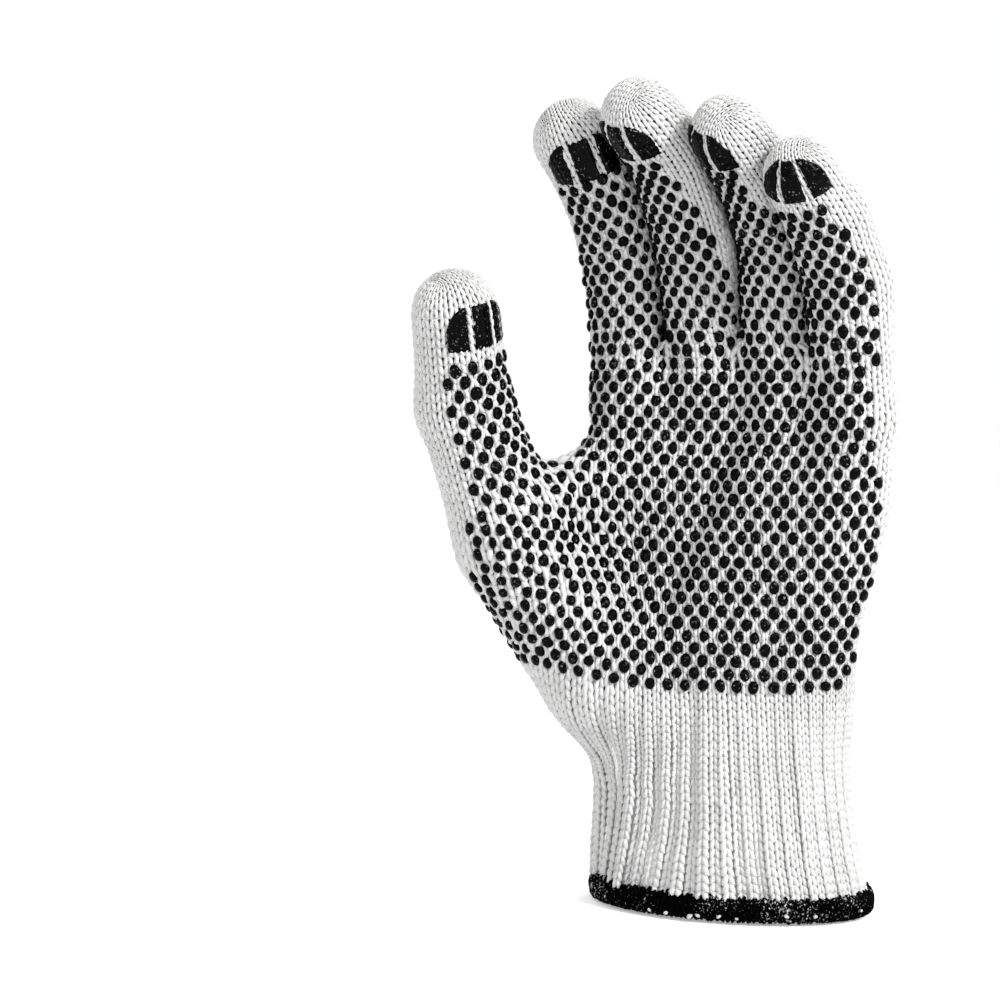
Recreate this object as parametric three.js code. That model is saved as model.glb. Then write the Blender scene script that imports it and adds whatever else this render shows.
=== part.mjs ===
// A knitted work glove for the left hand, worn open with the fingers slightly bent.
// Millimetres and degrees. The origin is the middle of the wrist opening, at the bottom of the hem.
// +Z runs up the fingers, -Y is the palm side, and the thumb is on the -X side.
import * as THREE from 'three';

const HEM_HEIGHT = 7;
const HEM_WIDTH = 82;
const HEM_DEPTH = 50;
const HEM_WALL = 3.2;
const CUFF_HEIGHT = 60;
const CUFF_WIDTH = 76.4;
const CUFF_DEPTH = 45;
const RIB_COUNT = 40;
const RIB_DEPTH = 1;
const PALM_LENGTH = 86;
const PALM_THICKNESS = 30;
const KNIT_WALL = 2;
const SEAM_GAP = 0.36;

const INDEX_LENGTH = 81.2;
const MIDDLE_LENGTH = 90.4;
const RING_LENGTH = 86.3;
const LITTLE_LENGTH = 76.4;
const INDEX_WIDTH = 24.4;
const MIDDLE_WIDTH = 24.4;
const RING_WIDTH = 24;
const LITTLE_WIDTH = 23.2;
const FINGER_CLEARANCE = 1.2;

const THUMB_ROOT_LENGTH = 46.8;
const THUMB_LENGTH = 70.4;
const THUMB_WIDTH = 26.4;
const WEB_THICKNESS = 20.5;

const BAR_WIDTH = 6;
const BAR_LENGTH = 12.4;
const BAR_SPACE = 1.9;
const BAR_THICKNESS = 0.7;
const BAR_STANDOFF = 0.3;
const BAR_ROUNDING = 0.86;

// How far neighbouring forms run into each other.
const PALM_BLEND = 12;
const WRIST_BLEND = 9;
const THUMB_BLEND = 14;
const WEB_BLEND = 9;
const JOINT_BLEND = 3;
const KNUCKLE_BLEND = 4;
const EDGE_BLEND = 1.5;

// Stitch columns and rows of the faceted knit: columns on one face of a finger, down each side of
// a finger and on one face of the thumb.
const FACE_COLUMNS = 4;
const SIDE_COLUMNS = 2;
const THUMB_COLUMNS = 5;
const ROWS = { cuff: 7, lowPalm: 11, highPalm: 8, thumb: 12, blend: 2 };
const HEM_COLUMNS = 56;
const BAR_CELLS = 4;
const CAP_ANGLE = 62;

// The stitches are evened out in steps, less at the crotches. SLOPE_REACH is how far round a point
// its slope is measured, and LONGEST_MOVE the most that a point shifts at once.
const RELAX_STEPS = 40;
const RELAX_SHARE = 0.6;
const CROTCH_SHARE = 0.15;
const SLOPE_REACH = 0.2;
const LONGEST_MOVE = 8;

// Each finger from its knuckle: bones and widths as shares of its length and width, bend at its
// three joints, lean of the straight finger, turn of the bending side, roll of the printed side,
// knuckle places as shares of the palm's sizes, spacing to the finger before as a share of
// touching widths, the bars' place past the tip's centre as a share of the width, and their slant.
const FINGERS = [
  {
    name: 'index', length: INDEX_LENGTH, width: INDEX_WIDTH, bones: [0.47, 0.318, 0.212],
    taper: [1, 0.984, 0.965, 0.965], bend: [0, 18, 40], lean: -4.4, turn: -22.5, roll: 34,
    up: 1, forward: -0.1, spacing: 0, bars: -0.11, slant: 0.2, rows: 13,
  },
  {
    name: 'middle', length: MIDDLE_LENGTH, width: MIDDLE_WIDTH, bones: [0.487, 0.321, 0.192],
    taper: [1, 0.967, 0.951, 0.918], bend: [8.5, 27, 57], lean: 0.4, turn: -18, roll: -8,
    up: 1.006, forward: 0.033, spacing: 0.848, bars: 0.04, slant: 0.05, rows: 14,
  },
  {
    name: 'ring', length: RING_LENGTH, width: RING_WIDTH, bones: [0.521, 0.284, 0.195],
    taper: [1, 0.967, 0.933, 0.883], bend: [6, 36, 58], lean: 1.5, turn: -15.5, roll: -17,
    up: 1.006, forward: 0.033, spacing: 0.913, bars: 0.115, slant: 0, rows: 13,
  },
  {
    name: 'little', length: LITTLE_LENGTH, width: LITTLE_WIDTH, bones: [0.491, 0.289, 0.22],
    taper: [1, 1.09, 0.99, 0.9], bend: [6.5, 32.5, 52], lean: 1, turn: -20, roll: 12,
    up: 0.953, forward: -0.1, spacing: 0.94, bars: 0.23, slant: 0.15, rows: 11,
  },
];

// The thumb: its root in shares of the palm's width, thickness and length, and the way each of
// its three bones points.
const THUMB = {
  root: [-0.376, -0.333, 0.093],
  bones: [
    { length: THUMB_ROOT_LENGTH, way: [-23, -17, 37] },
    { length: 0.606 * THUMB_LENGTH, way: [-11, -10, 40] },
    { length: 0.394 * THUMB_LENGTH, way: [0.7, -8, 26.5] },
  ],
  taper: [1.55, 1.174, 1, 0.924],
  pad: [0.86, -0.5, 0],
  bars: -0.09,
  slant: 0,
};

const radians = THREE.MathUtils.degToRad;
const add = (a, b, t = 1) => [a[0] + t * b[0], a[1] + t * b[1], a[2] + t * b[2]];
const sub = (a, b) => add(a, b, -1);
const mix = (a, b, t) => add(a, sub(b, a), t);
const dot = (a, b) => a[0] * b[0] + a[1] * b[1] + a[2] * b[2];
const cross = (a, b) => [
  a[1] * b[2] - a[2] * b[1],
  a[2] * b[0] - a[0] * b[2],
  a[0] * b[1] - a[1] * b[0],
];
const unit = (a) => {
  const length = Math.sqrt(dot(a, a)) || 1;
  return [a[0] / length, a[1] / length, a[2] / length];
};
const square = (a, along) => unit(add(a, along, -dot(a, along)));
const range = (count) => Array.from({ length: count }, (_, i) => i);

// Knuckles in a row, pressed against each other, over a palm as wide as the row.
const knuckleSteps = FINGERS.map((f, k) => (k ? f.spacing * (f.width + FINGERS[k - 1].width) / 2 : 0));
const knuckleSpan = knuckleSteps.reduce((a, b) => a + b, 0);
const palmWidth = knuckleSpan + (INDEX_WIDTH + LITTLE_WIDTH) / 2 + 0.055 * PALM_THICKNESS;
const knuckleSwell = 0.027 * PALM_THICKNESS;

function knuckle(k) {
  const along = knuckleSteps.slice(0, k + 1).reduce((a, b) => a + b, 0);
  const x = 0.054 * palmWidth - knuckleSpan / 2 + along;
  return [x, FINGERS[k].forward * PALM_THICKNESS, CUFF_HEIGHT + FINGERS[k].up * PALM_LENGTH];
}

// Way up a straight finger, its bending side and its printed side.
function fingerFrame(f) {
  const lean = radians(f.lean);
  const turn = radians(f.turn);
  const roll = radians(f.roll);
  const along = [Math.sin(lean), 0, Math.cos(lean)];
  const across = [Math.cos(lean), 0, -Math.sin(lean)];
  const bend = add([0, -Math.cos(turn), 0], across, Math.sin(turn));
  const side = cross(along, bend);
  const print = add(add([0, 0, 0], bend, Math.cos(roll)), side, Math.sin(roll));
  return { along, bend, print };
}

function fingerPoints(f, k) {
  const { along, bend } = fingerFrame(f);
  const points = [knuckle(k)];
  f.bones.forEach((share, i) => {
    const angle = radians(f.bend[i]);
    const way = add(add([0, 0, 0], along, Math.cos(angle)), bend, Math.sin(angle));
    points.push(add(points[i], way, share * f.length));
  });
  return points;
}

function thumbPoints() {
  const [x, y, z] = THUMB.root;
  const points = [[x * palmWidth, y * PALM_THICKNESS, CUFF_HEIGHT + z * PALM_LENGTH]];
  THUMB.bones.forEach((b, i) => points.push(add(points[i], unit(b.way), b.length)));
  return points;
}

const digits = FINGERS.map((f, k) => ({
  name: f.name,
  points: fingerPoints(f, k),
  radii: f.taper.map((t) => t * f.width / 2),
  print: fingerFrame(f).print,
  bars: f.bars * f.width,
  slant: f.slant,
  rows: f.rows,
}));
const thumb = {
  name: 'thumb',
  points: thumbPoints(),
  radii: THUMB.taper.map((t) => t * THUMB_WIDTH / 2),
  print: unit(THUMB.pad),
  bars: THUMB.bars * THUMB_WIDTH,
  slant: THUMB.slant,
  rows: ROWS.thumb,
};

// Sections of the cuff and the palm: height, full width, full depth and sideways shift.
const SECTIONS = [
  { z: 0, width: HEM_WIDTH, depth: HEM_DEPTH, shift: 0.006 * HEM_WIDTH },
  { z: 0.13 * CUFF_HEIGHT, width: HEM_WIDTH, depth: 0.98 * HEM_DEPTH, shift: 0 },
  { z: 0.28 * CUFF_HEIGHT, width: 1.04 * CUFF_WIDTH, depth: 1.1 * CUFF_DEPTH, shift: -0.01 * CUFF_WIDTH },
  { z: 0.53 * CUFF_HEIGHT, width: CUFF_WIDTH, depth: 1.04 * CUFF_DEPTH, shift: -0.021 * CUFF_WIDTH },
  { z: 0.68 * CUFF_HEIGHT, width: CUFF_WIDTH, depth: CUFF_DEPTH, shift: -0.031 * CUFF_WIDTH },
  { z: 0.83 * CUFF_HEIGHT, width: 1.037 * CUFF_WIDTH, depth: 0.95 * CUFF_DEPTH, shift: -0.047 * CUFF_WIDTH },
  { z: CUFF_HEIGHT, width: 1.09 * CUFF_WIDTH, depth: 0.89 * CUFF_DEPTH, shift: -0.058 * CUFF_WIDTH },
  ...[
    { up: 0.2, width: 0.956, depth: 1.25, shift: -0.066 },
    { up: 0.35, width: 0.972, depth: 1.147, shift: -0.04 },
    { up: 0.5, width: 0.99, depth: 1.067, shift: -0.012 },
    { up: 0.65, width: 1, depth: 0.987, shift: 0.013 },
    { up: 0.79, width: 0.97, depth: 0.8, shift: 0.022 },
    { up: 0.907, width: 0.79, depth: 0.4, shift: 0.022 },
    { up: 0.942, width: 0.53, depth: 0.2, shift: 0.022 },
  ].map((s) => ({
    z: CUFF_HEIGHT + s.up * PALM_LENGTH,
    width: s.width * palmWidth,
    depth: s.depth * PALM_THICKNESS,
    shift: s.shift * palmWidth,
  })),
];

// A round bone that tapers from one end to the other.
function bone(a, b, startRadius, endRadius) {
  const along = sub(b, a);
  return { a, along, lengthSquared: dot(along, along), startRadius, growth: endRadius - startRadius };
}

function boneDistance(x, y, z, { a, along, lengthSquared, startRadius, growth }) {
  const dx = x - a[0];
  const dy = y - a[1];
  const dz = z - a[2];
  const t = Math.min(1, Math.max(0, (dx * along[0] + dy * along[1] + dz * along[2]) / lengthSquared));
  const ex = dx - t * along[0];
  const ey = dy - t * along[1];
  const ez = dz - t * along[2];
  return Math.sqrt(ex * ex + ey * ey + ez * ez) - (startRadius + t * growth);
}

// The smaller of two distances, rounded off where they are about the same, and the larger.
function softMin(a, b, blend) {
  const h = Math.min(1, Math.max(0, 0.5 + 0.5 * (b - a) / blend));
  return b + (a - b) * h - blend * h * (1 - h);
}
const softMax = (a, b, blend) => -softMin(-a, -b, blend);

function chain({ points, radii }) {
  return range(points.length - 1).map((i) => bone(points[i], points[i + 1], radii[i], radii[i + 1]));
}

function chainDistance(x, y, z, bones, blend) {
  return bones.reduce((near, b) => {
    const distance = boneDistance(x, y, z, b);
    return near === null ? distance : softMin(near, distance, blend);
  }, null);
}

// Between the wrist and the knuckles the palm holds one bone a finger.
const wristHeight = CUFF_HEIGHT + 0.14 * PALM_LENGTH;
const wristRadius = 0.433 * PALM_THICKNESS;
const palmBones = digits.map(({ points, radii }) => {
  const start = [-0.06 * palmWidth + 0.6 * points[0][0], 0, wristHeight];
  return bone(start, points[0], wristRadius, radii[0] + knuckleSwell);
});
const digitBones = digits.map(chain);
const thumbBones = chain(thumb);

// The web of knit between the thumb and the index finger's side of the palm.
const webStart = add(palmBones[0].a, palmBones[0].along, 0.757);
const webEnd = mix(thumb.points[1], thumb.points[2], 0.17);
const webBone = bone(webStart, webEnd, WEB_THICKNESS / 2, 0.98 * WEB_THICKNESS / 2);
const webCrest = add(mix(webStart, webEnd, 0.62), [0, 0, 1], 0.46 * WEB_THICKNESS);

function sectionAt(z) {
  const last = SECTIONS.length - 1;
  const i = Math.min(last - 1, Math.max(0, SECTIONS.findIndex((s) => s.z > z) - 1));
  const high = z >= SECTIONS[last].z;
  const low = SECTIONS[high ? last - 1 : i];
  const next = SECTIONS[high ? last : i + 1];
  const t = Math.min(1, Math.max(0, (z - low.z) / (next.z - low.z)));
  return {
    a: (low.width + t * (next.width - low.width)) / 2,
    b: (low.depth + t * (next.depth - low.depth)) / 2,
    shift: low.shift + t * (next.shift - low.shift),
  };
}

function sectionDistance(x, y, z) {
  const { a, b, shift } = sectionAt(z);
  const u = (x - shift) / a;
  const v = y / b;
  const reach = Math.sqrt(u * u + v * v);
  const slope = Math.sqrt((u / a) ** 2 + (v / b) ** 2);
  const side = reach * (reach - 1) / Math.max(slope, 1e-6);
  return Math.max(side, z - SECTIONS[SECTIONS.length - 1].z);
}

function palmDistance(x, y, z) {
  let near = chainDistance(x, y, z, palmBones, PALM_BLEND);
  near = softMin(near, sectionDistance(x, y, z), WRIST_BLEND);
  near = softMin(near, chainDistance(x, y, z, thumbBones, KNUCKLE_BLEND), THUMB_BLEND);
  return softMin(near, boneDistance(x, y, z, webBone), WEB_BLEND);
}

// Each finger stops half the clearance short of where it would meet its neighbour.
function fingerDistances(x, y, z) {
  const own = digitBones.map((bones) => chainDistance(x, y, z, bones, JOINT_BLEND));
  return own.map((distance, k) => {
    let cut = distance;
    if (k > 0) {
      cut = softMax(cut, (distance - own[k - 1] + FINGER_CLEARANCE) / 2, EDGE_BLEND);
    }
    if (k < own.length - 1) {
      cut = softMax(cut, (distance - own[k + 1] + FINGER_CLEARANCE) / 2, EDGE_BLEND);
    }
    return cut;
  });
}

// Distance to the outside of the glove, or of the palm with one finger alone.
function gloveDistance(x, y, z, finger) {
  const cuts = fingerDistances(x, y, z);
  const near = finger < 0 ? Math.min(...cuts) : cuts[finger];
  return softMin(palmDistance(x, y, z), near, KNUCKLE_BLEND);
}

function slope([x, y, z], finger) {
  const step = SLOPE_REACH;
  const rise = (dx, dy, dz) => (
    gloveDistance(x + dx, y + dy, z + dz, finger) - gloveDistance(x - dx, y - dy, z - dz, finger)
  ) / (2 * step);
  return [rise(step, 0, 0), rise(0, step, 0), rise(0, 0, step)];
}

// Moves a point onto the outside of the glove, at its own height if flat.
function settle(start, { finger = -1, steps = 3, flat = false } = {}) {
  let p = start;
  for (let i = 0; i < steps; i += 1) {
    const g = slope(p, finger);
    if (flat) {
      g[2] = 0;
    }
    const move = gloveDistance(...p, finger) / Math.max(dot(g, g), 0.2);
    const length = Math.abs(move) * Math.sqrt(dot(g, g));
    p = add(p, g, -move * Math.min(1, LONGEST_MOVE / Math.max(length, 1e-9)));
  }
  return p;
}

// Point of a ring round a centre, by column: the front face comes first, then round the sides.
function ringPoint(column, count, faceColumns, centre, across, out, halfWidth, halfDepth) {
  const angle = 2 * Math.PI * (column - faceColumns / 2) / count;
  return add(add(centre, across, halfWidth * Math.sin(angle)), out, halfDepth * Math.cos(angle));
}

const palmColumns = FINGERS.length * FACE_COLUMNS;
const wideColumns = palmColumns + THUMB_COLUMNS;
const wideCount = 2 * (wideColumns + SIDE_COLUMNS);
const net = { points: [], fingers: [], pinned: [], crotch: [], faces: [] };

function addPoint(point, finger = -1, pinned = false) {
  net.points.push(point);
  net.fingers.push(finger);
  net.pinned.push(pinned);
  net.crotch.push(false);
  return net.points.length - 1;
}

function addStrip(low, high, zone) {
  low.forEach((_, c) => {
    const d = (c + 1) % low.length;
    net.faces.push({ corners: [low[c], low[d], high[d], high[c]], zone });
  });
}

// Rows of stitches from a ring to the places of the next, and the last ring made.
function addRows(start, target, rows, zone) {
  const from = start.map((i) => net.points[i]);
  let low = start;
  for (let j = 1; j <= rows; j += 1) {
    const high = from.map((p, c) => addPoint(mix(p, target[c], j / rows)));
    addStrip(low, high, zone);
    low = high;
  }
  return low;
}

function addBridge(front, back) {
  const middle = range(SIDE_COLUMNS - 1).map((s) => (
    addPoint(mix(net.points[front], net.points[back], (s + 1) / SIDE_COLUMNS))
  ));
  [front, back, ...middle].forEach((i) => {
    net.crotch[i] = true;
  });
  return middle;
}

// Places of the ring at the height where the thumb leaves the palm.
function thumbSplit() {
  const z = CUFF_HEIGHT + 0.7 * PALM_LENGTH;
  const { a, shift } = sectionAt(z);
  const edge = shift + a;
  const inset = 0.045 * palmWidth;
  const half = PALM_THICKNESS / 2;
  const face = (y) => range(palmColumns + 1).map((i) => {
    const t = i / palmColumns;
    const x = webCrest[0] + inset + (edge - 2 * inset - webCrest[0]) * t;
    return [x, y, z + (webCrest[2] - z) * (1 - t) - 0.5 * inset * t];
  });
  const side = range(SIDE_COLUMNS - 1).map((s) => (
    [edge + inset, half * (2 * (s + 1) / SIDE_COLUMNS - 1), z - 0.5 * inset]
  ));
  const along = unit(sub(thumb.points[2], thumb.points[1]));
  const out = square(thumb.print, along);
  const across = cross(along, out);
  const centre = mix(thumb.points[1], thumb.points[2], 0.25);
  const count = 2 * (THUMB_COLUMNS + SIDE_COLUMNS);
  const ring = range(count).map((i) => (
    ringPoint(i, count, THUMB_COLUMNS, centre, across, out, thumb.radii[1], thumb.radii[1])
  ));
  return [
    ...ring.slice(0, THUMB_COLUMNS),
    ...face(-half),
    ...side,
    ...face(half).reverse(),
    ...ring.slice(THUMB_COLUMNS + SIDE_COLUMNS + 1),
  ];
}

// Places of the ring through the finger crotches.
function fingerLine() {
  const rise = 0.17 * PALM_LENGTH;
  const middles = digits.map(({ points }) => mix(points[0], points[1], 0.5));
  const tops = digits.map(({ points }) => points[0][2] + rise);
  const last = digits.length - 1;
  const inset = 0.02 * palmWidth;
  const knots = range(digits.length + 1).map((k) => {
    if (k === 0) {
      return { x: middles[0][0] - digits[0].radii[0] + inset, z: tops[0] };
    }
    if (k > last) {
      return { x: middles[last][0] + digits[last].radii[0] - inset, z: tops[last] };
    }
    return { x: (middles[k - 1][0] + middles[k][0]) / 2, z: (tops[k - 1] + tops[k]) / 2 };
  });
  const place = (i, sign) => {
    const k = Math.min(last, Math.floor(i / FACE_COLUMNS));
    const t = i / FACE_COLUMNS - k;
    const bulge = 0.3 * PALM_THICKNESS * Math.abs(Math.sin(Math.PI * t));
    const y = sign * (0.17 * PALM_THICKNESS + bulge) - 0.1 * PALM_THICKNESS;
    return [
      knots[k].x + t * (knots[k + 1].x - knots[k].x), y,
      knots[k].z + t * (knots[k + 1].z - knots[k].z),
    ];
  };
  const side = (knot, step) => range(SIDE_COLUMNS - 1).map((s) => (
    [knot.x + step, 0.34 * PALM_THICKNESS * ((s + 1) / SIDE_COLUMNS - 0.5) - 0.1 * PALM_THICKNESS, knot.z]
  ));
  return [
    ...range(palmColumns + 1).map((i) => place(i, -1)),
    ...side(knots[last + 1], 2 * inset),
    ...range(palmColumns + 1).map((i) => place(palmColumns - i, 1)),
    ...side(knots[0], -2 * inset).reverse(),
  ];
}

// Centre, radius and way of a finger at a length along its bones, turning gently at the joints.
function boneFrame(points, radii, length) {
  const parts = range(points.length - 1).map((i) => sub(points[i + 1], points[i]));
  const lengths = parts.map((part) => Math.sqrt(dot(part, part)));
  let i = 0;
  let left = length;
  while (i < parts.length - 1 && left > lengths[i]) {
    left -= lengths[i];
    i += 1;
  }
  const t = Math.min(1, left / lengths[i]);
  const before = parts[Math.max(0, i - 1)];
  const after = parts[Math.min(parts.length - 1, i + 1)];
  const turned = t < 0.5 ? mix(unit(before), unit(parts[i]), 0.5 + t) : mix(unit(parts[i]), unit(after), t - 0.5);
  return {
    centre: mix(points[i], points[i + 1], t),
    radius: radii[i] + t * (radii[i + 1] - radii[i]),
    way: unit(turned),
  };
}

// A finger's rows from its base ring to the tip, closed by a small grid of stitches.
function addFinger(base, digit, firstBone, faceColumns, finger) {
  const points = digit.points.slice(firstBone);
  const radii = digit.radii.slice(firstBone);
  const total = range(points.length - 1).reduce((sum, i) => {
    const part = sub(points[i + 1], points[i]);
    return sum + Math.sqrt(dot(part, part));
  }, 0);
  const start = base.map((i) => net.points[i]);
  const middle = start.reduce((sum, p) => add(sum, p, 1 / start.length), [0, 0, 0]);
  const firstWay = unit(sub(points[1], points[0]));
  const firstLength = Math.max(0, dot(sub(middle, points[0]), firstWay));
  const tipRadius = radii[radii.length - 1];
  const reach = total - firstLength + tipRadius * radians(CAP_ANGLE);
  let low = base;
  let frame = null;
  for (let j = 1; j <= digit.rows; j += 1) {
    const length = firstLength + reach * j / digit.rows;
    const past = Math.max(0, length - total) / tipRadius;
    const { centre, radius, way } = boneFrame(points, radii, Math.min(length, total));
    const out = square(digit.print, way);
    const across = cross(way, out);
    const middleHere = add(centre, way, tipRadius * Math.sin(past));
    const radiusHere = radius * Math.cos(past);
    const share = Math.min(1, j / (ROWS.blend + 1));
    const high = start.map((p, c) => {
      const ring = ringPoint(c, start.length, faceColumns, middleHere, across, out, radiusHere, radiusHere);
      const carried = add(p, sub(centre, middle));
      return addPoint(mix(carried, ring, share), finger);
    });
    addStrip(low, high, digit.name);
    low = high;
    frame = { way, radius };
  }
  const front = low.slice(0, faceColumns + 1);
  const right = low.slice(faceColumns, faceColumns + SIDE_COLUMNS + 1);
  const back = low.slice(faceColumns + SIDE_COLUMNS, 2 * faceColumns + SIDE_COLUMNS + 1).reverse();
  const left = [low[0], ...low.slice(2 * faceColumns + SIDE_COLUMNS + 1).reverse(), back[0]];
  const grid = range(faceColumns + 1).map((i) => range(SIDE_COLUMNS + 1).map((s) => {
    if (s === 0) {
      return front[i];
    }
    if (s === SIDE_COLUMNS) {
      return back[i];
    }
    if (i === 0) {
      return left[s];
    }
    if (i === faceColumns) {
      return right[s];
    }
    const flat = mix(net.points[front[i]], net.points[back[i]], s / SIDE_COLUMNS);
    return addPoint(add(flat, frame.way, 0.12 * frame.radius), finger);
  }));
  range(SIDE_COLUMNS).forEach((s) => range(faceColumns).forEach((i) => {
    const corners = [grid[i][s], grid[i + 1][s], grid[i + 1][s + 1], grid[i][s + 1]];
    net.faces.push({ corners, zone: digit.name });
  }));
}

// The knit as a net of stitches: the palm from the cuff up, the thumb off its side, the fingers.
function layNet() {
  const { a, b, shift } = sectionAt(CUFF_HEIGHT);
  const foot = range(wideCount).map((i) => addPoint(
    ringPoint(i, wideCount, wideColumns, [shift, 0, CUFF_HEIGHT], [1, 0, 0], [0, -1, 0], a, b), -1, true,
  ));
  const split = addRows(foot, thumbSplit(), ROWS.lowPalm, 'palm');
  const backCrotch = wideColumns + SIDE_COLUMNS + palmColumns;
  const web = addBridge(split[THUMB_COLUMNS], split[backCrotch]);
  const palmRing = [...split.slice(THUMB_COLUMNS, backCrotch + 1), ...[...web].reverse()];
  const thumbRing = [...split.slice(0, THUMB_COLUMNS + 1), ...web, ...split.slice(backCrotch)];
  const line = addRows(palmRing, fingerLine(), ROWS.highPalm, 'palm');
  const front = line.slice(0, palmColumns + 1);
  const back = line.slice(palmColumns + SIDE_COLUMNS, 2 * palmColumns + SIDE_COLUMNS + 1).reverse();
  const bridges = range(digits.length + 1).map((k) => {
    if (k === 0) {
      return line.slice(2 * palmColumns + SIDE_COLUMNS + 1).reverse();
    }
    if (k === digits.length) {
      return line.slice(palmColumns + 1, palmColumns + SIDE_COLUMNS);
    }
    return addBridge(front[k * FACE_COLUMNS], back[k * FACE_COLUMNS]);
  });
  digits.forEach((digit, k) => {
    const first = k * FACE_COLUMNS;
    const base = [
      ...front.slice(first, first + FACE_COLUMNS + 1),
      ...bridges[k + 1],
      ...back.slice(first, first + FACE_COLUMNS + 1).reverse(),
      ...[...bridges[k]].reverse(),
    ];
    addFinger(base, digit, 0, FACE_COLUMNS, k);
  });
  addFinger(thumbRing, thumb, 1, THUMB_COLUMNS, -1);
}

// Evens out the stitches and lays them on the outside of the glove.
function relaxNet() {
  const near = net.points.map(() => new Set());
  net.faces.forEach(({ corners }) => corners.forEach((i, c) => {
    const j = corners[(c + 1) % 4];
    near[i].add(j);
    near[j].add(i);
  }));
  const neighbours = near.map((set) => [...set]);
  const place = (i, steps) => (
    settle(net.points[i], { finger: net.fingers[i], steps, flat: net.pinned[i] })
  );
  net.points = net.points.map((_, i) => place(i, 6));
  for (let step = 0; step < RELAX_STEPS; step += 1) {
    const moved = net.points.map((p, i) => {
      if (net.pinned[i]) {
        return p;
      }
      const mean = neighbours[i].reduce(
        (sum, j) => add(sum, net.points[j], 1 / neighbours[i].length), [0, 0, 0],
      );
      return mix(p, mean, net.crotch[i] ? CROTCH_SHARE : RELAX_SHARE);
    });
    net.points = moved;
    net.points = net.points.map((p, i) => (net.pinned[i] ? p : place(i, 1)));
  }
  net.points = net.points.map((_, i) => place(i, 3));
}

function pointNormals() {
  const normals = net.points.map(() => [0, 0, 0]);
  net.faces.forEach(({ corners }) => {
    const [p, q, r, s] = corners.map((i) => net.points[i]);
    const normal = cross(sub(r, p), sub(s, q));
    corners.forEach((i) => {
      normals[i] = add(normals[i], normal);
    });
  });
  return normals.map((n, i) => unit(net.pinned[i] ? [n[0], n[1], 0] : n));
}

function bodyMesh(name, positions, triangles, material) {
  const geometry = new THREE.BufferGeometry();
  geometry.setAttribute('position', new THREE.Float32BufferAttribute(positions.flat(), 3));
  geometry.setIndex(triangles.flat());
  geometry.computeVertexNormals();
  const mesh = new THREE.Mesh(geometry, material);
  mesh.name = name;
  return mesh;
}

// The same four corners, begun so that the face is split along its shorter diagonal.
function shortSplit([a, b, c, d]) {
  const [p, q, r, s] = [a, b, c, d].map((i) => net.points[i]);
  const first = sub(r, p);
  const second = sub(s, q);
  return dot(first, first) <= dot(second, second) ? [a, b, c, d] : [b, c, d, a];
}

// One closed wall of knit over some of the net's faces, drawn back half the seam at its edges.
function knitBody(name, zone, normals, material) {
  const faces = net.faces.filter((f) => f.zone === zone);
  const edges = new Map();
  faces.forEach(({ corners }) => corners.forEach((i, c) => {
    const j = corners[(c + 1) % 4];
    edges.set(`${i}_${j}`, [i, j]);
  }));
  const rim = [...edges.values()].filter(([i, j]) => !edges.has(`${j}_${i}`));
  const rimPoints = new Set(rim.flat());
  const inward = new Map();
  faces.forEach(({ corners }) => {
    const centre = corners.reduce((sum, i) => add(sum, net.points[i], 0.25), [0, 0, 0]);
    corners.filter((i) => rimPoints.has(i)).forEach((i) => {
      inward.set(i, add(inward.get(i) ?? [0, 0, 0], unit(sub(centre, net.points[i]))));
    });
  });
  const used = [...new Set(faces.flatMap(({ corners }) => corners))];
  const order = new Map(used.map((i, at) => [i, at]));
  const outer = used.map((i) => {
    if (!inward.has(i)) {
      return net.points[i];
    }
    const way = net.pinned[i] ? [0, 0, 1] : square(inward.get(i), normals[i]);
    return add(net.points[i], way, SEAM_GAP / 2);
  });
  const inner = used.map((i, at) => add(outer[at], normals[i], -KNIT_WALL));
  const count = used.length;
  const triangles = [];
  const quad = (a, b, c, d) => triangles.push([a, b, c], [a, c, d]);
  faces.forEach(({ corners }) => {
    const [a, b, c, d] = shortSplit(corners).map((i) => order.get(i));
    quad(a, b, c, d);
    quad(c + count, b + count, a + count, d + count);
  });
  // Both walls that meet at an edge are split along the same diagonal.
  rim.forEach(([i, j]) => {
    const a = order.get(i);
    const b = order.get(j);
    if (i < j) {
      quad(b, a, a + count, b + count);
    } else {
      quad(a, a + count, b + count, b);
    }
  });
  return bodyMesh(name, [...outer, ...inner], triangles, material);
}

// A closed ring swept round the wrist from one loop of points a column.
function ringBody(name, loops, material) {
  const size = loops[0].length;
  const triangles = [];
  loops.forEach((_, i) => range(size).forEach((j) => {
    const a = i * size + j;
    const b = i * size + (j + 1) % size;
    const next = ((i + 1) % loops.length) * size;
    const c = next + (j + 1) % size;
    const d = next + j;
    triangles.push([a, d, c], [a, c, b]);
  }));
  return bodyMesh(name, loops.flat(), triangles, material);
}

function wristPoint(column, count, z) {
  const { a, b, shift } = sectionAt(z);
  const start = ringPoint(column, count, 0, [shift, 0, z], [1, 0, 0], [0, -1, 0], a, b);
  const point = settle(start, { steps: 6, flat: true });
  const g = slope(point, -1);
  return { point, normal: unit([g[0], g[1], 0]) };
}

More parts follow.
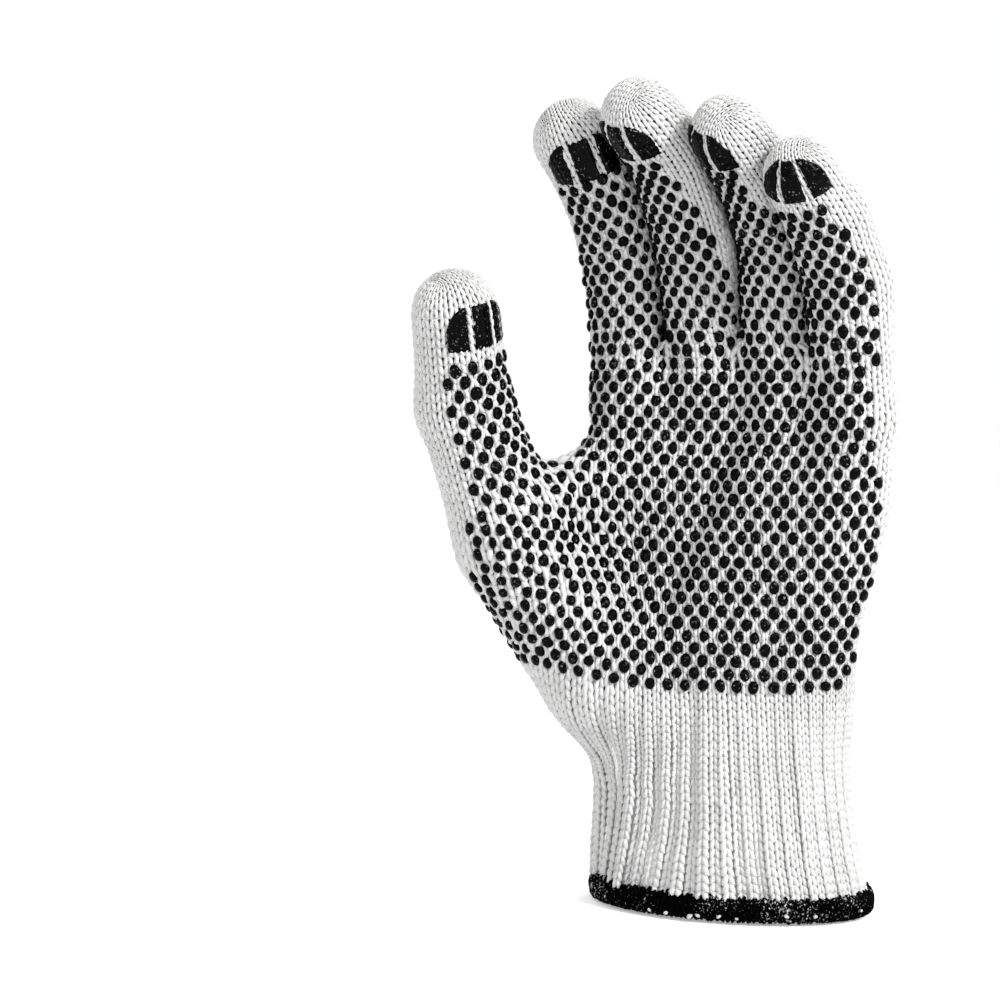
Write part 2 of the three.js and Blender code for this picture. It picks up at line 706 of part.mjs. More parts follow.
// The ribbed cuff: every other column of stitches stands out, fading into the palm's plain knit.
function cuffBody(material) {
  const count = 2 * RIB_COUNT;
  const bottom = HEM_HEIGHT + SEAM_GAP / 2;
  const top = CUFF_HEIGHT - SEAM_GAP / 2;
  const loops = range(count).map((i) => {
    const rows = range(ROWS.cuff + 1).map((j) => {
      const share = j / ROWS.cuff;
      const { point, normal } = wristPoint(i, count, bottom + share * (top - bottom));
      const lift = (i % 2 ? -0.5 : 0.5) * RIB_DEPTH * Math.min(1, 4 * (1 - share));
      return { out: add(point, normal, lift), in: add(point, normal, -KNIT_WALL) };
    });
    return [...rows.map((r) => r.out), ...rows.map((r) => r.in).reverse()];
  });
  return ringBody('rib_cuff', loops, material);
}

// The overlocked edging: a round-edged band, a little thicker than the knit that it binds.
function hemBody(material) {
  const half = HEM_HEIGHT / 2;
  const wall = HEM_WALL / 2;
  const corners = [
    { out: 1, up: -0.62 }, { out: 1, up: 0.62 }, { out: 0.55, up: 1 }, { out: -0.55, up: 1 },
    { out: -1, up: 0.62 }, { out: -1, up: -0.62 }, { out: -0.55, up: -1 }, { out: 0.55, up: -1 },
  ];
  const top = HEM_HEIGHT - SEAM_GAP / 2;
  const loops = range(HEM_COLUMNS).map((i) => corners.map((corner) => {
    const z = half + corner.up * (top - half);
    const { point, normal } = wristPoint(i, HEM_COLUMNS, Math.max(0, z));
    const middle = add(point, normal, HEM_WALL - KNIT_WALL - wall);
    return [...add(middle, normal, corner.out * wall).slice(0, 2), corner.up < -0.9 ? 0 : z];
  }));
  return ringBody('cuff_hem', loops, material);
}

// A printed grip bar on a fingertip. The outer bars are rounded off towards the tip.
function barBody(name, digit, finger, side, material) {
  const { points, radii } = digit;
  const tip = points[points.length - 1];
  const radius = radii[radii.length - 1];
  const way = unit(sub(tip, points[points.length - 2]));
  const out = square(digit.print, way);
  const across = cross(way, out);
  const columns = BAR_CELLS;
  const rows = BAR_CELLS;
  const place = (u, v) => {
    const arch = side === 0 ? 1 : Math.sqrt(1 - (BAR_ROUNDING * (side > 0 ? u : 1 - u)) ** 2);
    const aside = (u - 0.5) * BAR_WIDTH + side * (BAR_WIDTH + BAR_SPACE);
    const ahead = (v * arch - 0.5) * BAR_LENGTH;
    const angle = (aside + digit.slant * ahead) / radius;
    const length = digit.bars + ahead - digit.slant * aside;
    const past = Math.max(0, length) / radius;
    const radial = add(add([0, 0, 0], out, Math.cos(angle)), across, Math.sin(angle));
    const onBone = add(tip, way, Math.min(0, length) + radius * Math.sin(past));
    const point = settle(add(onBone, radial, radius * Math.cos(past)), { finger, steps: 4 });
    const normal = unit(slope(point, finger));
    return { low: add(point, normal, BAR_STANDOFF), high: add(point, normal, BAR_STANDOFF + BAR_THICKNESS) };
  };
  const grid = range(columns + 1).map((i) => range(rows + 1).map((j) => place(i / columns, j / rows)));
  const cells = grid.flat();
  const at = (i, j) => i * (rows + 1) + j;
  const count = cells.length;
  const triangles = [];
  const quad = (a, b, c, d) => triangles.push([a, b, c], [a, c, d]);
  range(columns).forEach((i) => range(rows).forEach((j) => {
    const corners = [at(i, j), at(i + 1, j), at(i + 1, j + 1), at(i, j + 1)];
    quad(...corners);
    quad(...corners.map((c) => c + count).reverse());
  }));
  const rim = [
    ...range(columns).map((i) => [at(i, 0), at(i + 1, 0)]),
    ...range(rows).map((j) => [at(columns, j), at(columns, j + 1)]),
    ...range(columns).map((i) => [at(i + 1, rows), at(i, rows)]),
    ...range(rows).map((j) => [at(0, j + 1), at(0, j)]),
  ];
  rim.forEach(([a, b]) => quad(b, a, a + count, b + count));
  return bodyMesh(name, [...cells.map((c) => c.high), ...cells.map((c) => c.low)], triangles, material);
}

const knitMaterial = () => new THREE.MeshStandardMaterial({ color: 0xf1f1ee, roughness: 0.95, metalness: 0 });
const hemMaterial = () => new THREE.MeshStandardMaterial({ color: 0x161616, roughness: 0.9, metalness: 0 });
const printMaterial = () => new THREE.MeshStandardMaterial({ color: 0x0c0c0d, roughness: 0.4, metalness: 0 });

layNet();
relaxNet();
const normals = pointNormals();
const glove = new THREE.Group();
glove.add(hemBody(hemMaterial()));
glove.add(cuffBody(knitMaterial()));
glove.add(knitBody('palm_shell', 'palm', normals, knitMaterial()));
[...digits, thumb].forEach((digit, k) => {
  const finger = digit === thumb ? -1 : k;
  glove.add(knitBody(`${digit.name}_finger`, digit.name, normals, knitMaterial()));
  [-1, 0, 1].forEach((side) => {
    glove.add(barBody(`grip_bar_${digit.name}_${side + 2}`, digit, finger, side, printMaterial()));
  });
});

export default glove;
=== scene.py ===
"""A dotted knitted work glove for the left hand: yarn stitches, printed dots and bars, overlocked hem.

The shape is laid out in millimetres in the part's frame and written to the meshes in metres.
"""
import math

import bpy
import numpy as np
from mathutils import Matrix
from mathutils.kdtree import KDTree


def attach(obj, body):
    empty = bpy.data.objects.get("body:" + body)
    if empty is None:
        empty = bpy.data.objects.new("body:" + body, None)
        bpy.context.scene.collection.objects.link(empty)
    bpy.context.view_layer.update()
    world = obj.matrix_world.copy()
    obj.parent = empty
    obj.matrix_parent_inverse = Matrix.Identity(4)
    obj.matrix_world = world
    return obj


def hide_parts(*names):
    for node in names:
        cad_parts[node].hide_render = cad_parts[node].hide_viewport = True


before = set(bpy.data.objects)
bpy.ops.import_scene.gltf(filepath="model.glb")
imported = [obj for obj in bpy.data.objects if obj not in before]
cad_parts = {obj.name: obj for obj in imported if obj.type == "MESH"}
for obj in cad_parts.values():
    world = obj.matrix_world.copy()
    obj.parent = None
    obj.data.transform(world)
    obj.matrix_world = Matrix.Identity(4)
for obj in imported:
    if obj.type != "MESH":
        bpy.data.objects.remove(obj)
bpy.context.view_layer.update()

MM = 0.001
RNG = np.random.default_rng(11)

# Driving sizes, as in the part.
HEM_HEIGHT = 7.0
HEM_WIDTH = 82.0
HEM_DEPTH = 50.0
HEM_WALL = 3.2
CUFF_HEIGHT = 60.0
CUFF_WIDTH = 76.4
CUFF_DEPTH = 45.0
PALM_LENGTH = 86.0
PALM_THICKNESS = 30.0
FINGER_CLEARANCE = 1.2
THUMB_ROOT_LENGTH = 46.8
THUMB_LENGTH = 70.4
THUMB_WIDTH = 26.4
WEB_THICKNESS = 20.5
BAR_WIDTH = 6.0
BAR_LENGTH = 12.4
BAR_SPACE = 1.9
BAR_ROUNDING = 0.86
PALM_BLEND = 12.0
WRIST_BLEND = 9.0
THUMB_BLEND = 14.0
WEB_BLEND = 9.0
JOINT_BLEND = 3.0
KNUCKLE_BLEND = 4.0
EDGE_BLEND = 1.5

# Stitches: columns on a finger's face, down its sides and on the thumb's face, and rows.
FACE = 7
SIDE = 4
THUMB_FACE = 8
CUFF_ROWS = 22
HELD_ROWS = 13
CUFF_SWEEP = ((3, 12, 22, 32, 42), (2.8, 1.7, 0.7, 0.1, 0.1))
LOW_ROWS = 24
HIGH_ROWS = 17
THUMB_ROWS = 28
BLEND_ROWS = 6
CAP_ANGLE = math.radians(62)
RELAX_STEPS = 60

FINGERS = [
    dict(name="index", length=81.2, width=24.4, bones=(0.47, 0.318, 0.212), taper=(1, 0.984, 0.965, 0.965),
         bend=(0, 18, 40), lean=-4.4, turn=-22.5, roll=34, up=1, forward=-0.1, spacing=0,
         bars=-0.11, slant=0.2, rows=33),
    dict(name="middle", length=90.4, width=24.4, bones=(0.487, 0.321, 0.192), taper=(1, 0.967, 0.951, 0.918),
         bend=(8.5, 27, 57), lean=0.4, turn=-18, roll=-8, up=1.006, forward=0.033, spacing=0.848,
         bars=0.04, slant=0.05, rows=37),
    dict(name="ring", length=86.3, width=24.0, bones=(0.521, 0.284, 0.195), taper=(1, 0.967, 0.933, 0.883),
         bend=(6, 36, 58), lean=1.5, turn=-15.5, roll=-17, up=1.006, forward=0.033, spacing=0.913,
         bars=0.115, slant=0, rows=35),
    dict(name="little", length=76.4, width=23.2, bones=(0.491, 0.289, 0.22), taper=(1, 1.09, 0.99, 0.9),
         bend=(6.5, 32.5, 52), lean=1, turn=-20, roll=12, up=0.953, forward=-0.1, spacing=0.94,
         bars=0.23, slant=0.15, rows=29),
]
THUMB = dict(root=(-0.376, -0.333, 0.093), taper=(1.55, 1.174, 1, 0.924), pad=(0.86, -0.5, 0),
             bars=-0.09, slant=0, bones=(
                 (THUMB_ROOT_LENGTH, (-23, -17, 37)),
                 (0.606 * THUMB_LENGTH, (-11, -10, 40)),
                 (0.394 * THUMB_LENGTH, (0.7, -8, 26.5))))


def unit(v):
    v = np.asarray(v, float)
    return v / np.maximum(np.linalg.norm(v, axis=-1, keepdims=True), 1e-12)


def square(a, along):
    return unit(a - along * np.sum(a * along, -1, keepdims=True))


def mix(a, b, t):
    return a + (b - a) * t


def smooth_step(t):
    t = np.clip(t, 0, 1)
    return t * t * (3 - 2 * t)


# Knuckles, bones and printed sides.
steps = [0.0]
for before, f in zip(FINGERS, FINGERS[1:]):
    steps.append(f["spacing"] * (f["width"] + before["width"]) / 2)
knuckle_span = sum(steps)
palm_width = knuckle_span + (FINGERS[0]["width"] + FINGERS[-1]["width"]) / 2 + 0.055 * PALM_THICKNESS


def finger_digit(k, f):
    lean, turn, roll = (math.radians(f[key]) for key in ("lean", "turn", "roll"))
    along = np.array([math.sin(lean), 0, math.cos(lean)])
    across = np.array([math.cos(lean), 0, -math.sin(lean)])
    bend = np.array([0, -math.cos(turn), 0]) + across * math.sin(turn)
    pad = bend * math.cos(roll) + np.cross(along, bend) * math.sin(roll)
    x = 0.054 * palm_width - knuckle_span / 2 + sum(steps[:k + 1])
    points = [np.array([x, f["forward"] * PALM_THICKNESS, CUFF_HEIGHT + f["up"] * PALM_LENGTH])]
    for share, angle in zip(f["bones"], f["bend"]):
        a = math.radians(angle)
        points.append(points[-1] + share * f["length"] * (along * math.cos(a) + bend * math.sin(a)))
    radii = np.array(f["taper"]) * f["width"] / 2
    return dict(name=f["name"], points=np.array(points), radii=radii, pad=pad, bars=f["bars"] * f["width"],
                slant=f["slant"], rows=f["rows"])


digits = [finger_digit(k, f) for k, f in enumerate(FINGERS)]
thumb_points = [np.array([THUMB["root"][0] * palm_width, THUMB["root"][1] * PALM_THICKNESS,
                          CUFF_HEIGHT + THUMB["root"][2] * PALM_LENGTH])]
for length, way in THUMB["bones"]:
    thumb_points.append(thumb_points[-1] + unit(way) * length)
thumb = dict(name="thumb", points=np.array(thumb_points), radii=np.array(THUMB["taper"]) * THUMB_WIDTH / 2,
             pad=unit(THUMB["pad"]), bars=THUMB["bars"] * THUMB_WIDTH, slant=THUMB["slant"], rows=THUMB_ROWS)

# Sections of the cuff and palm: height, half width, half depth, sideways shift.
SECTIONS = np.array([
    (0, HEM_WIDTH, HEM_DEPTH, 0.006 * HEM_WIDTH),
    (0.13 * CUFF_HEIGHT, HEM_WIDTH, 0.98 * HEM_DEPTH, 0),
    (0.28 * CUFF_HEIGHT, 1.04 * CUFF_WIDTH, 1.1 * CUFF_DEPTH, -0.01 * CUFF_WIDTH),
    (0.53 * CUFF_HEIGHT, CUFF_WIDTH, 1.04 * CUFF_DEPTH, -0.021 * CUFF_WIDTH),
    (0.68 * CUFF_HEIGHT, CUFF_WIDTH, CUFF_DEPTH, -0.031 * CUFF_WIDTH),
    (0.83 * CUFF_HEIGHT, 1.037 * CUFF_WIDTH, 0.95 * CUFF_DEPTH, -0.047 * CUFF_WIDTH),
    (CUFF_HEIGHT, 1.09 * CUFF_WIDTH, 0.89 * CUFF_DEPTH, -0.058 * CUFF_WIDTH),
    *[(CUFF_HEIGHT + up * PALM_LENGTH, w * palm_width, d * PALM_THICKNESS, s * palm_width)
      for up, w, d, s in (
          (0.2, 0.956, 1.25, -0.066), (0.35, 0.972, 1.147, -0.04), (0.5, 0.99, 1.067, -0.012),
          (0.65, 1, 0.987, 0.013), (0.79, 0.97, 0.8, 0.022), (0.907, 0.79, 0.4, 0.022),
          (0.942, 0.53, 0.2, 0.022))],
])
SECTIONS[:, 1:3] /= 2


def section_at(z):
    return [np.interp(z, SECTIONS[:, 0], SECTIONS[:, i]) for i in (1, 2, 3)]


def cone(p, a, b, ra, rb):
    ab = b - a
    t = np.clip((p - a) @ ab / (ab @ ab), 0, 1)
    d = p - a - t[:, None] * ab
    return np.sqrt((d * d).sum(1)) - (ra + t * (rb - ra))


def soft_min(a, b, blend):
    h = np.clip(0.5 + 0.5 * (b - a) / blend, 0, 1)
    return b + (a - b) * h - blend * h * (1 - h)


def soft_max(a, b, blend):
    return -soft_min(-a, -b, blend)


def chain(p, points, radii, blend):
    near = None
    for i in range(len(points) - 1):
        d = cone(p, points[i], points[i + 1], radii[i], radii[i + 1])
        near = d if near is None else soft_min(near, d, blend)
    return near


palm_starts = [np.array([-0.06 * palm_width + 0.6 * d["points"][0][0], 0, CUFF_HEIGHT + 0.14 * PALM_LENGTH])
               for d in digits]
web_start = mix(palm_starts[0], digits[0]["points"][0], 0.757)
web_end = mix(thumb["points"][1], thumb["points"][2], 0.17)
web_crest = mix(web_start, web_end, 0.62) + np.array([0, 0, 0.46 * WEB_THICKNESS])


def palm_distance(p):
    near = None
    for start, d in zip(palm_starts, digits):
        one = cone(p, start, d["points"][0], 0.433 * PALM_THICKNESS, d["radii"][0] + 0.027 * PALM_THICKNESS)
        near = one if near is None else soft_min(near, one, PALM_BLEND)
    a, b, shift = section_at(p[:, 2])
    u, v = (p[:, 0] - shift) / a, p[:, 1] / b
    reach = np.sqrt(u * u + v * v)
    slope = np.sqrt((u / a) ** 2 + (v / b) ** 2)
    side = np.maximum(reach * (reach - 1) / np.maximum(slope, 1e-6), p[:, 2] - SECTIONS[-1, 0])
    near = soft_min(near, side, WRIST_BLEND)
    near = soft_min(near, chain(p, thumb["points"], thumb["radii"], KNUCKLE_BLEND), THUMB_BLEND)
    return soft_min(near, cone(p, web_start, web_end, WEB_THICKNESS / 2, 0.98 * WEB_THICKNESS / 2), WEB_BLEND)


def distance(p, label):
    """Distance to the outside of the glove, for a point of a finger to the palm with that finger alone."""
    own = [chain(p, d["points"], d["radii"], JOINT_BLEND) for d in digits]
    cuts = []
    for k, mine in enumerate(own):
        cut = mine
        for j in (k - 1, k + 1):
            if 0 <= j < len(own):
                cut = soft_max(cut, (mine - own[j] + FINGER_CLEARANCE) / 2, EDGE_BLEND)
        cuts.append(cut)
    cuts = np.array(cuts)
    near = np.where(label < 0, cuts.min(0), np.take_along_axis(cuts, np.maximum(label, 0)[None], 0)[0])
    return soft_min(palm_distance(p), near, KNUCKLE_BLEND)


def slope_of(p, label):
    g = np.zeros_like(p)
    for i in range(3):
        e = np.zeros(3)
        e[i] = 0.2
        g[:, i] = (distance(p + e, label) - distance(p - e, label)) / 0.4
    return g


def settle(p, label, count, flat=False):
    for _ in range(count):
        g = slope_of(p, label)
        if flat:
            g[:, 2] = 0
        move = (distance(p, label) / np.maximum((g * g).sum(1), 0.2))[:, None] * g
        size = np.linalg.norm(move, axis=1, keepdims=True)
        p = p - move * np.minimum(1, 8 / np.maximum(size, 1e-9))
    return p


def ring(count, face, centre, across, out, half_width, half_depth):
    angle = 2 * np.pi * (np.arange(count) - face / 2) / count
    return centre + np.outer(half_width * np.sin(angle), across) + np.outer(half_depth * np.cos(angle), out)


class Net:
    """The knit's stitches: places, and faces with their zone, column and row."""

    def __init__(self):
        self.points, self.labels, self.pinned, self.crotch = [], [], [], set()
        self.faces, self.zones, self.columns, self.rows = [], [], [], []

    def add(self, point, label=-1, pinned=False):
        self.points.append(np.asarray(point, float))
        self.labels.append(label)
        self.pinned.append(pinned)
        return len(self.points) - 1

    def strip(self, low, high, zone, row):
        for c in range(len(low)):
            d = (c + 1) % len(low)
            self.face((low[c], low[d], high[d], high[c]), zone, c, row)

    def face(self, corners, zone, column, row):
        self.faces.append(corners)
        self.zones.append(zone)
        self.columns.append(column)
        self.rows.append(row)

    def bridge(self, front, back):
        middle = [self.add(mix(self.points[front], self.points[back], (s + 1) / SIDE))
                  for s in range(SIDE - 1)]
        self.crotch.update([front, back, *middle])
        return middle


PALM_COLUMNS = len(FINGERS) * FACE
WIDE_COLUMNS = PALM_COLUMNS + THUMB_FACE
WIDE_COUNT = 2 * (WIDE_COLUMNS + SIDE)


def thumb_split():
    z = CUFF_HEIGHT + 0.7 * PALM_LENGTH
    a, _, shift = section_at(z)
    edge, inset, half = shift + a, 0.045 * palm_width, PALM_THICKNESS / 2

    def face(y):
        t = np.arange(PALM_COLUMNS + 1) / PALM_COLUMNS
        x = web_crest[0] + inset + (edge - 2 * inset - web_crest[0]) * t
        return np.stack([x, np.full_like(t, y), z + (web_crest[2] - z) * (1 - t) - 0.5 * inset * t], 1)

    side = [[edge + inset, half * (2 * (s + 1) / SIDE - 1), z - 0.5 * inset] for s in range(SIDE - 1)]
    along = unit(thumb["points"][2] - thumb["points"][1])
    out = square(thumb["pad"], along)
    centre = mix(thumb["points"][1], thumb["points"][2], 0.25)
    radius = thumb["radii"][1]
    loop = ring(2 * (THUMB_FACE + SIDE), THUMB_FACE, centre, np.cross(along, out), out, radius, radius)
    return np.vstack([loop[:THUMB_FACE], face(-half), side, face(half)[::-1], loop[THUMB_FACE + SIDE + 1:]])


def finger_line():
    rise, inset, last = 0.17 * PALM_LENGTH, 0.02 * palm_width, len(digits) - 1
    middles = [mix(d["points"][0], d["points"][1], 0.5) for d in digits]
    tops = [d["points"][0][2] + rise for d in digits]
    knots = [(middles[0][0] - digits[0]["radii"][0] + inset, tops[0])]
    knots += [((middles[k - 1][0] + middles[k][0]) / 2, (tops[k - 1] + tops[k]) / 2)
              for k in range(1, last + 1)]
    knots += [(middles[last][0] + digits[last]["radii"][0] - inset, tops[last])]

    def place(i, sign):
        k = min(last, i // FACE)
        t = i / FACE - k
        bulge = 0.17 * PALM_THICKNESS + 0.3 * PALM_THICKNESS * abs(math.sin(math.pi * t))
        y = sign * bulge - 0.1 * PALM_THICKNESS
        return [mix(knots[k][0], knots[k + 1][0], t), y, mix(knots[k][1], knots[k + 1][1], t)]

    def side(knot, step):
        deep = 0.34 * PALM_THICKNESS
        return [[knot[0] + step, deep * ((s + 1) / SIDE - 0.5) - 0.1 * PALM_THICKNESS, knot[1]]
                for s in range(SIDE - 1)]

    front = [place(i, -1) for i in range(PALM_COLUMNS + 1)]
    back = [place(PALM_COLUMNS - i, 1) for i in range(PALM_COLUMNS + 1)]
    return np.array(front + side(knots[-1], 2 * inset) + back + side(knots[0], -2 * inset)[::-1])


def bone_frame(points, radii, length):
    parts = np.diff(points, axis=0)
    lengths = np.linalg.norm(parts, axis=1)
    i = 0
    while i < len(parts) - 1 and length > lengths[i]:
        length -= lengths[i]
        i += 1
    t = min(1, length / lengths[i])
    if t < 0.5:
        way = mix(unit(parts[max(0, i - 1)]), unit(parts[i]), 0.5 + t)
    else:
        way = mix(unit(parts[i]), unit(parts[min(len(parts) - 1, i + 1)]), t - 0.5)
    return mix(points[i], points[i + 1], t), mix(radii[i], radii[i + 1], t), unit(way)


def add_finger(net, base, digit, first_bone, face, label):
    points, radii = digit["points"][first_bone:], digit["radii"][first_bone:]
    total = np.linalg.norm(np.diff(points, axis=0), axis=1).sum()
    start = np.array([net.points[i] for i in base])
    middle = start.mean(0)
    first = max(0.0, float((middle - points[0]) @ unit(points[1] - points[0])))
    tip_radius = radii[-1]
    reach = total - first + tip_radius * CAP_ANGLE
    low = base
    for j in range(1, digit["rows"] + 1):
        length = first + reach * j / digit["rows"]
        past = max(0.0, length - total) / tip_radius
        centre, radius, way = bone_frame(points, radii, min(length, total))
        out = square(digit["pad"], way)
        loop = ring(len(base), face, centre + way * tip_radius * math.sin(past), np.cross(way, out), out,
                    radius * math.cos(past), radius * math.cos(past))
        share = min(1, j / (BLEND_ROWS + 1))
        high = [net.add(p, label) for p in mix(start + centre - middle, loop, share)]
        net.strip(low, high, digit["name"], j - 1)
        low = high
    front = low[:face + 1]
    right = low[face:face + SIDE + 1]
    back = low[face + SIDE:2 * face + SIDE + 1][::-1]
    left = [low[0], *low[2 * face + SIDE + 1:][::-1], back[0]]
    grid = []
    for i in range(face + 1):
        column = []
        for s in range(SIDE + 1):
            if s == 0:
                column.append(front[i])
            elif s == SIDE:
                column.append(back[i])
            elif i == 0:
                column.append(left[s])
            elif i == face:
                column.append(right[s])
            else:
                flat = mix(net.points[front[i]], net.points[back[i]], s / SIDE)
                column.append(net.add(flat + way * 0.12 * radius, label))
        grid.append(column)
    for s in range(SIDE):
        for i in range(face):
            corners = (grid[i][s], grid[i + 1][s], grid[i + 1][s + 1], grid[i][s + 1])
            net.face(corners, digit["name"], i, digit["rows"] + s)


def lay_net():
    net = Net()
    low = None
    for j in range(HELD_ROWS + 1):
        z = mix(HEM_HEIGHT - 1.5, CUFF_HEIGHT, j / CUFF_ROWS)
        a, b, shift = section_at(z)
        angle = 2 * np.pi * (np.arange(WIDE_COUNT) - WIDE_COLUMNS / 2) / WIDE_COUNT
        thumb_side = smooth_step((0.35 - np.sin(angle)) / 0.9) * np.cos(angle)
        angle = angle - thumb_side * np.interp(z, *CUFF_SWEEP) * 2 * np.pi / WIDE_COUNT
        loop = np.stack([shift + a * np.sin(angle), -b * np.cos(angle), np.full(WIDE_COUNT, z)], 1)
        high = [net.add(p, -1, True) for p in loop]
        if j:
            net.strip(low, high, "cuff", j - 1)
        low = high

    def rows(start, target, count, zone_of, rise=0.0):
        begin = np.array([net.points[i] for i in start])
        knee = begin + np.array([0, 0, rise])
        low = start
        for j in range(1, count + 1):
            t = j / count
            curve = mix(mix(begin, knee, t), mix(knee, target, t), t) if rise else mix(begin, target, t)
            high = [net.add(p) for p in curve]
            net.strip(low, high, *zone_of(j - 1))
            low = high
        return low

    free = CUFF_ROWS - HELD_ROWS
    split = rows(low, thumb_split(), free + LOW_ROWS,
                 lambda j: ("cuff", j + HELD_ROWS) if j < free else ("heel", j - free), rise=32.0)
    back_crotch = WIDE_COLUMNS + SIDE + PALM_COLUMNS
    web = net.bridge(split[THUMB_FACE], split[back_crotch])
    palm_ring = [*split[THUMB_FACE:back_crotch + 1], *web[::-1]]
    thumb_ring = [*split[:THUMB_FACE + 1], *web, *split[back_crotch:]]
    line = rows(palm_ring, finger_line(), HIGH_ROWS, lambda j: ("palm", j))
    front = line[:PALM_COLUMNS + 1]
    back = line[PALM_COLUMNS + SIDE:2 * PALM_COLUMNS + SIDE + 1][::-1]
    bridges = [line[2 * PALM_COLUMNS + SIDE + 1:][::-1]]
    bridges += [net.bridge(front[k * FACE], back[k * FACE]) for k in range(1, len(digits))]
    bridges += [line[PALM_COLUMNS + 1:PALM_COLUMNS + SIDE]]
    for k, digit in enumerate(digits):
        cut = slice(k * FACE, (k + 1) * FACE + 1)
        base = [*front[cut], *bridges[k + 1], *back[cut][::-1], *bridges[k][::-1]]
        add_finger(net, base, digit, 0, FACE, k)
    add_finger(net, thumb_ring, thumb, 1, THUMB_FACE, -1)
    return net


def relaxed(net):
    p = np.array(net.points)
    labels = np.array(net.labels)
    pinned = np.array(net.pinned)
    q = np.array(net.faces)
    edges = np.vstack([q[:, [0, 1]], q[:, [1, 2]], q[:, [2, 3]], q[:, [3, 0]]])
    edges = np.unique(np.sort(edges, 1), axis=0)
    degree = np.bincount(edges.ravel(), minlength=len(p)).astype(float)
    share = np.full((len(p), 1), 0.6)
    share[list(net.crotch)] = 0.15
    free = ~pinned
    p[pinned] = settle(p[pinned], labels[pinned], 6, flat=True)
    p[free] = settle(p[free], labels[free], 6)
    start, end = edges.T
    for _ in range(RELAX_STEPS):
        total = np.stack([np.bincount(start, p[end, i], len(p)) + np.bincount(end, p[start, i], len(p))
                          for i in range(3)], 1)
        p[free] = (p + share * (total / degree[:, None] - p))[free]
        p[free] = settle(p[free], labels[free], 1)
    p[free] = settle(p[free], labels[free], 3)
    return p, q


def normals_of(p, q):
    n = np.zeros_like(p)
    face = np.cross(p[q[:, 2]] - p[q[:, 0]], p[q[:, 3]] - p[q[:, 1]])
    for i in range(4):
        np.add.at(n, q[:, i], face)
    return unit(n)


def hollow(p):
    """How deep the palm sinks between the ball of the thumb and the heel of the hand's outer side."""
    x, y, z = p.T
    edge = mix(-11.0, 12.0, (z - 82.0) / 59.0)
    across = 1 - smooth_step((x - edge + 5.0) / 8.0)
    across = across * smooth_step((x + 38.0) / 16.0)
    along = smooth_step((z - 74.0) / 26.0) * (1 - smooth_step((z - 136.0) / 20.0))
    return 3.4 * across * along * smooth_step((-4.0 - y) / 5.0)


net = lay_net()
PLACES, QUADS = relaxed(net)
PLACES[:, 1] += hollow(PLACES)
ZONES = np.array(net.zones)
COLUMNS = np.array(net.columns)
ROWS = np.array(net.rows)
NORMALS = normals_of(PLACES, QUADS)


# Meshes.
def build(name, points, loops, sizes, material, uv=None):
    mesh = bpy.data.meshes.new(name)
    mesh.vertices.add(len(points))
    mesh.vertices.foreach_set("co", (np.asarray(points) * MM).astype(np.float32).ravel())
    loops, sizes = np.asarray(loops, np.int32), np.asarray(sizes, np.int32)
    mesh.loops.add(len(loops))
    mesh.loops.foreach_set("vertex_index", loops)
    mesh.polygons.add(len(sizes))
    mesh.polygons.foreach_set("loop_start", np.concatenate([[0], np.cumsum(sizes)[:-1]]).astype(np.int32))
    mesh.polygons.foreach_set("loop_total", sizes)
    mesh.update(calc_edges=True)
    if uv is not None:
        layer = mesh.uv_layers.new(name="yarn")
        layer.data.foreach_set("uv", uv[loops].astype(np.float32).ravel())
    mesh.shade_smooth()
    mesh.validate()
    piece = bpy.data.objects.new(name, mesh)
    bpy.context.scene.collection.objects.link(piece)
    for m in material if isinstance(material, (list, tuple)) else [material]:
        mesh.materials.append(m)
    return piece


def tubes(paths, outs, radii, closed=False, section=5):
    """Closed tubes along many paths at once: paths (n, k, 3), the way out at each point, and radii (n, k)."""
    n, k, _ = paths.shape
    if closed:
        ways = unit(np.roll(paths, -1, 1) - np.roll(paths, 1, 1))
    else:
        ways = unit(np.gradient(paths, axis=1))
    side = unit(np.cross(ways, outs))
    up = np.cross(side, ways)
    angle = 2 * np.pi * np.arange(section) / section
    points = (paths[:, :, None] + radii[:, :, None, None] * (
        side[:, :, None] * np.sin(angle)[:, None] + up[:, :, None] * np.cos(angle)[:, None]))
    index = np.arange(n * k * section).reshape(n, k, section)
    nxt = np.roll(index, -1, 2)
    if closed:
        above, above_nxt = np.roll(index, -1, 1), np.roll(nxt, -1, 1)
        quads = np.stack([index, nxt, above_nxt, above], -1).reshape(-1, 4)
    else:
        quads = np.stack([index[:, :-1], nxt[:, :-1], nxt[:, 1:], index[:, 1:]], -1).reshape(-1, 4)
    loops, sizes = [quads.ravel()], [np.full(len(quads), 4)]
    if not closed:
        loops += [index[:, 0, ::-1].ravel(), index[:, -1].ravel()]
        sizes += [np.full(2 * n, section)]
    steps = np.linalg.norm(np.diff(paths, axis=1), axis=2)
    lengths = np.concatenate([np.zeros((n, 1)), np.cumsum(steps, 1)], 1)
    uv = np.stack([np.broadcast_to(np.arange(section) / section, (n, k, section)),
                   np.broadcast_to(lengths[:, :, None], (n, k, section))], -1)
    return points.reshape(-1, 3), np.concatenate(loops), np.concatenate(sizes), uv.reshape(-1, 2)


def on_face(q, u, v, w):
    """Points over faces q at shares u across and v up, w outwards, and the way out there."""
    a, b, c, d = (PLACES[q[:, i]][:, None] for i in range(4))
    e, f, g, h = (NORMALS[q[:, i]][:, None] for i in range(4))
    u, v, w = (np.asarray(x)[..., None] for x in (u, v, w))
    place = a * (1 - u) * (1 - v) + b * u * (1 - v) + c * u * v + d * (1 - u) * v
    out = unit(e * (1 - u) * (1 - v) + f * u * (1 - v) + g * u * v + h * (1 - u) * v)
    return place + out * w, out


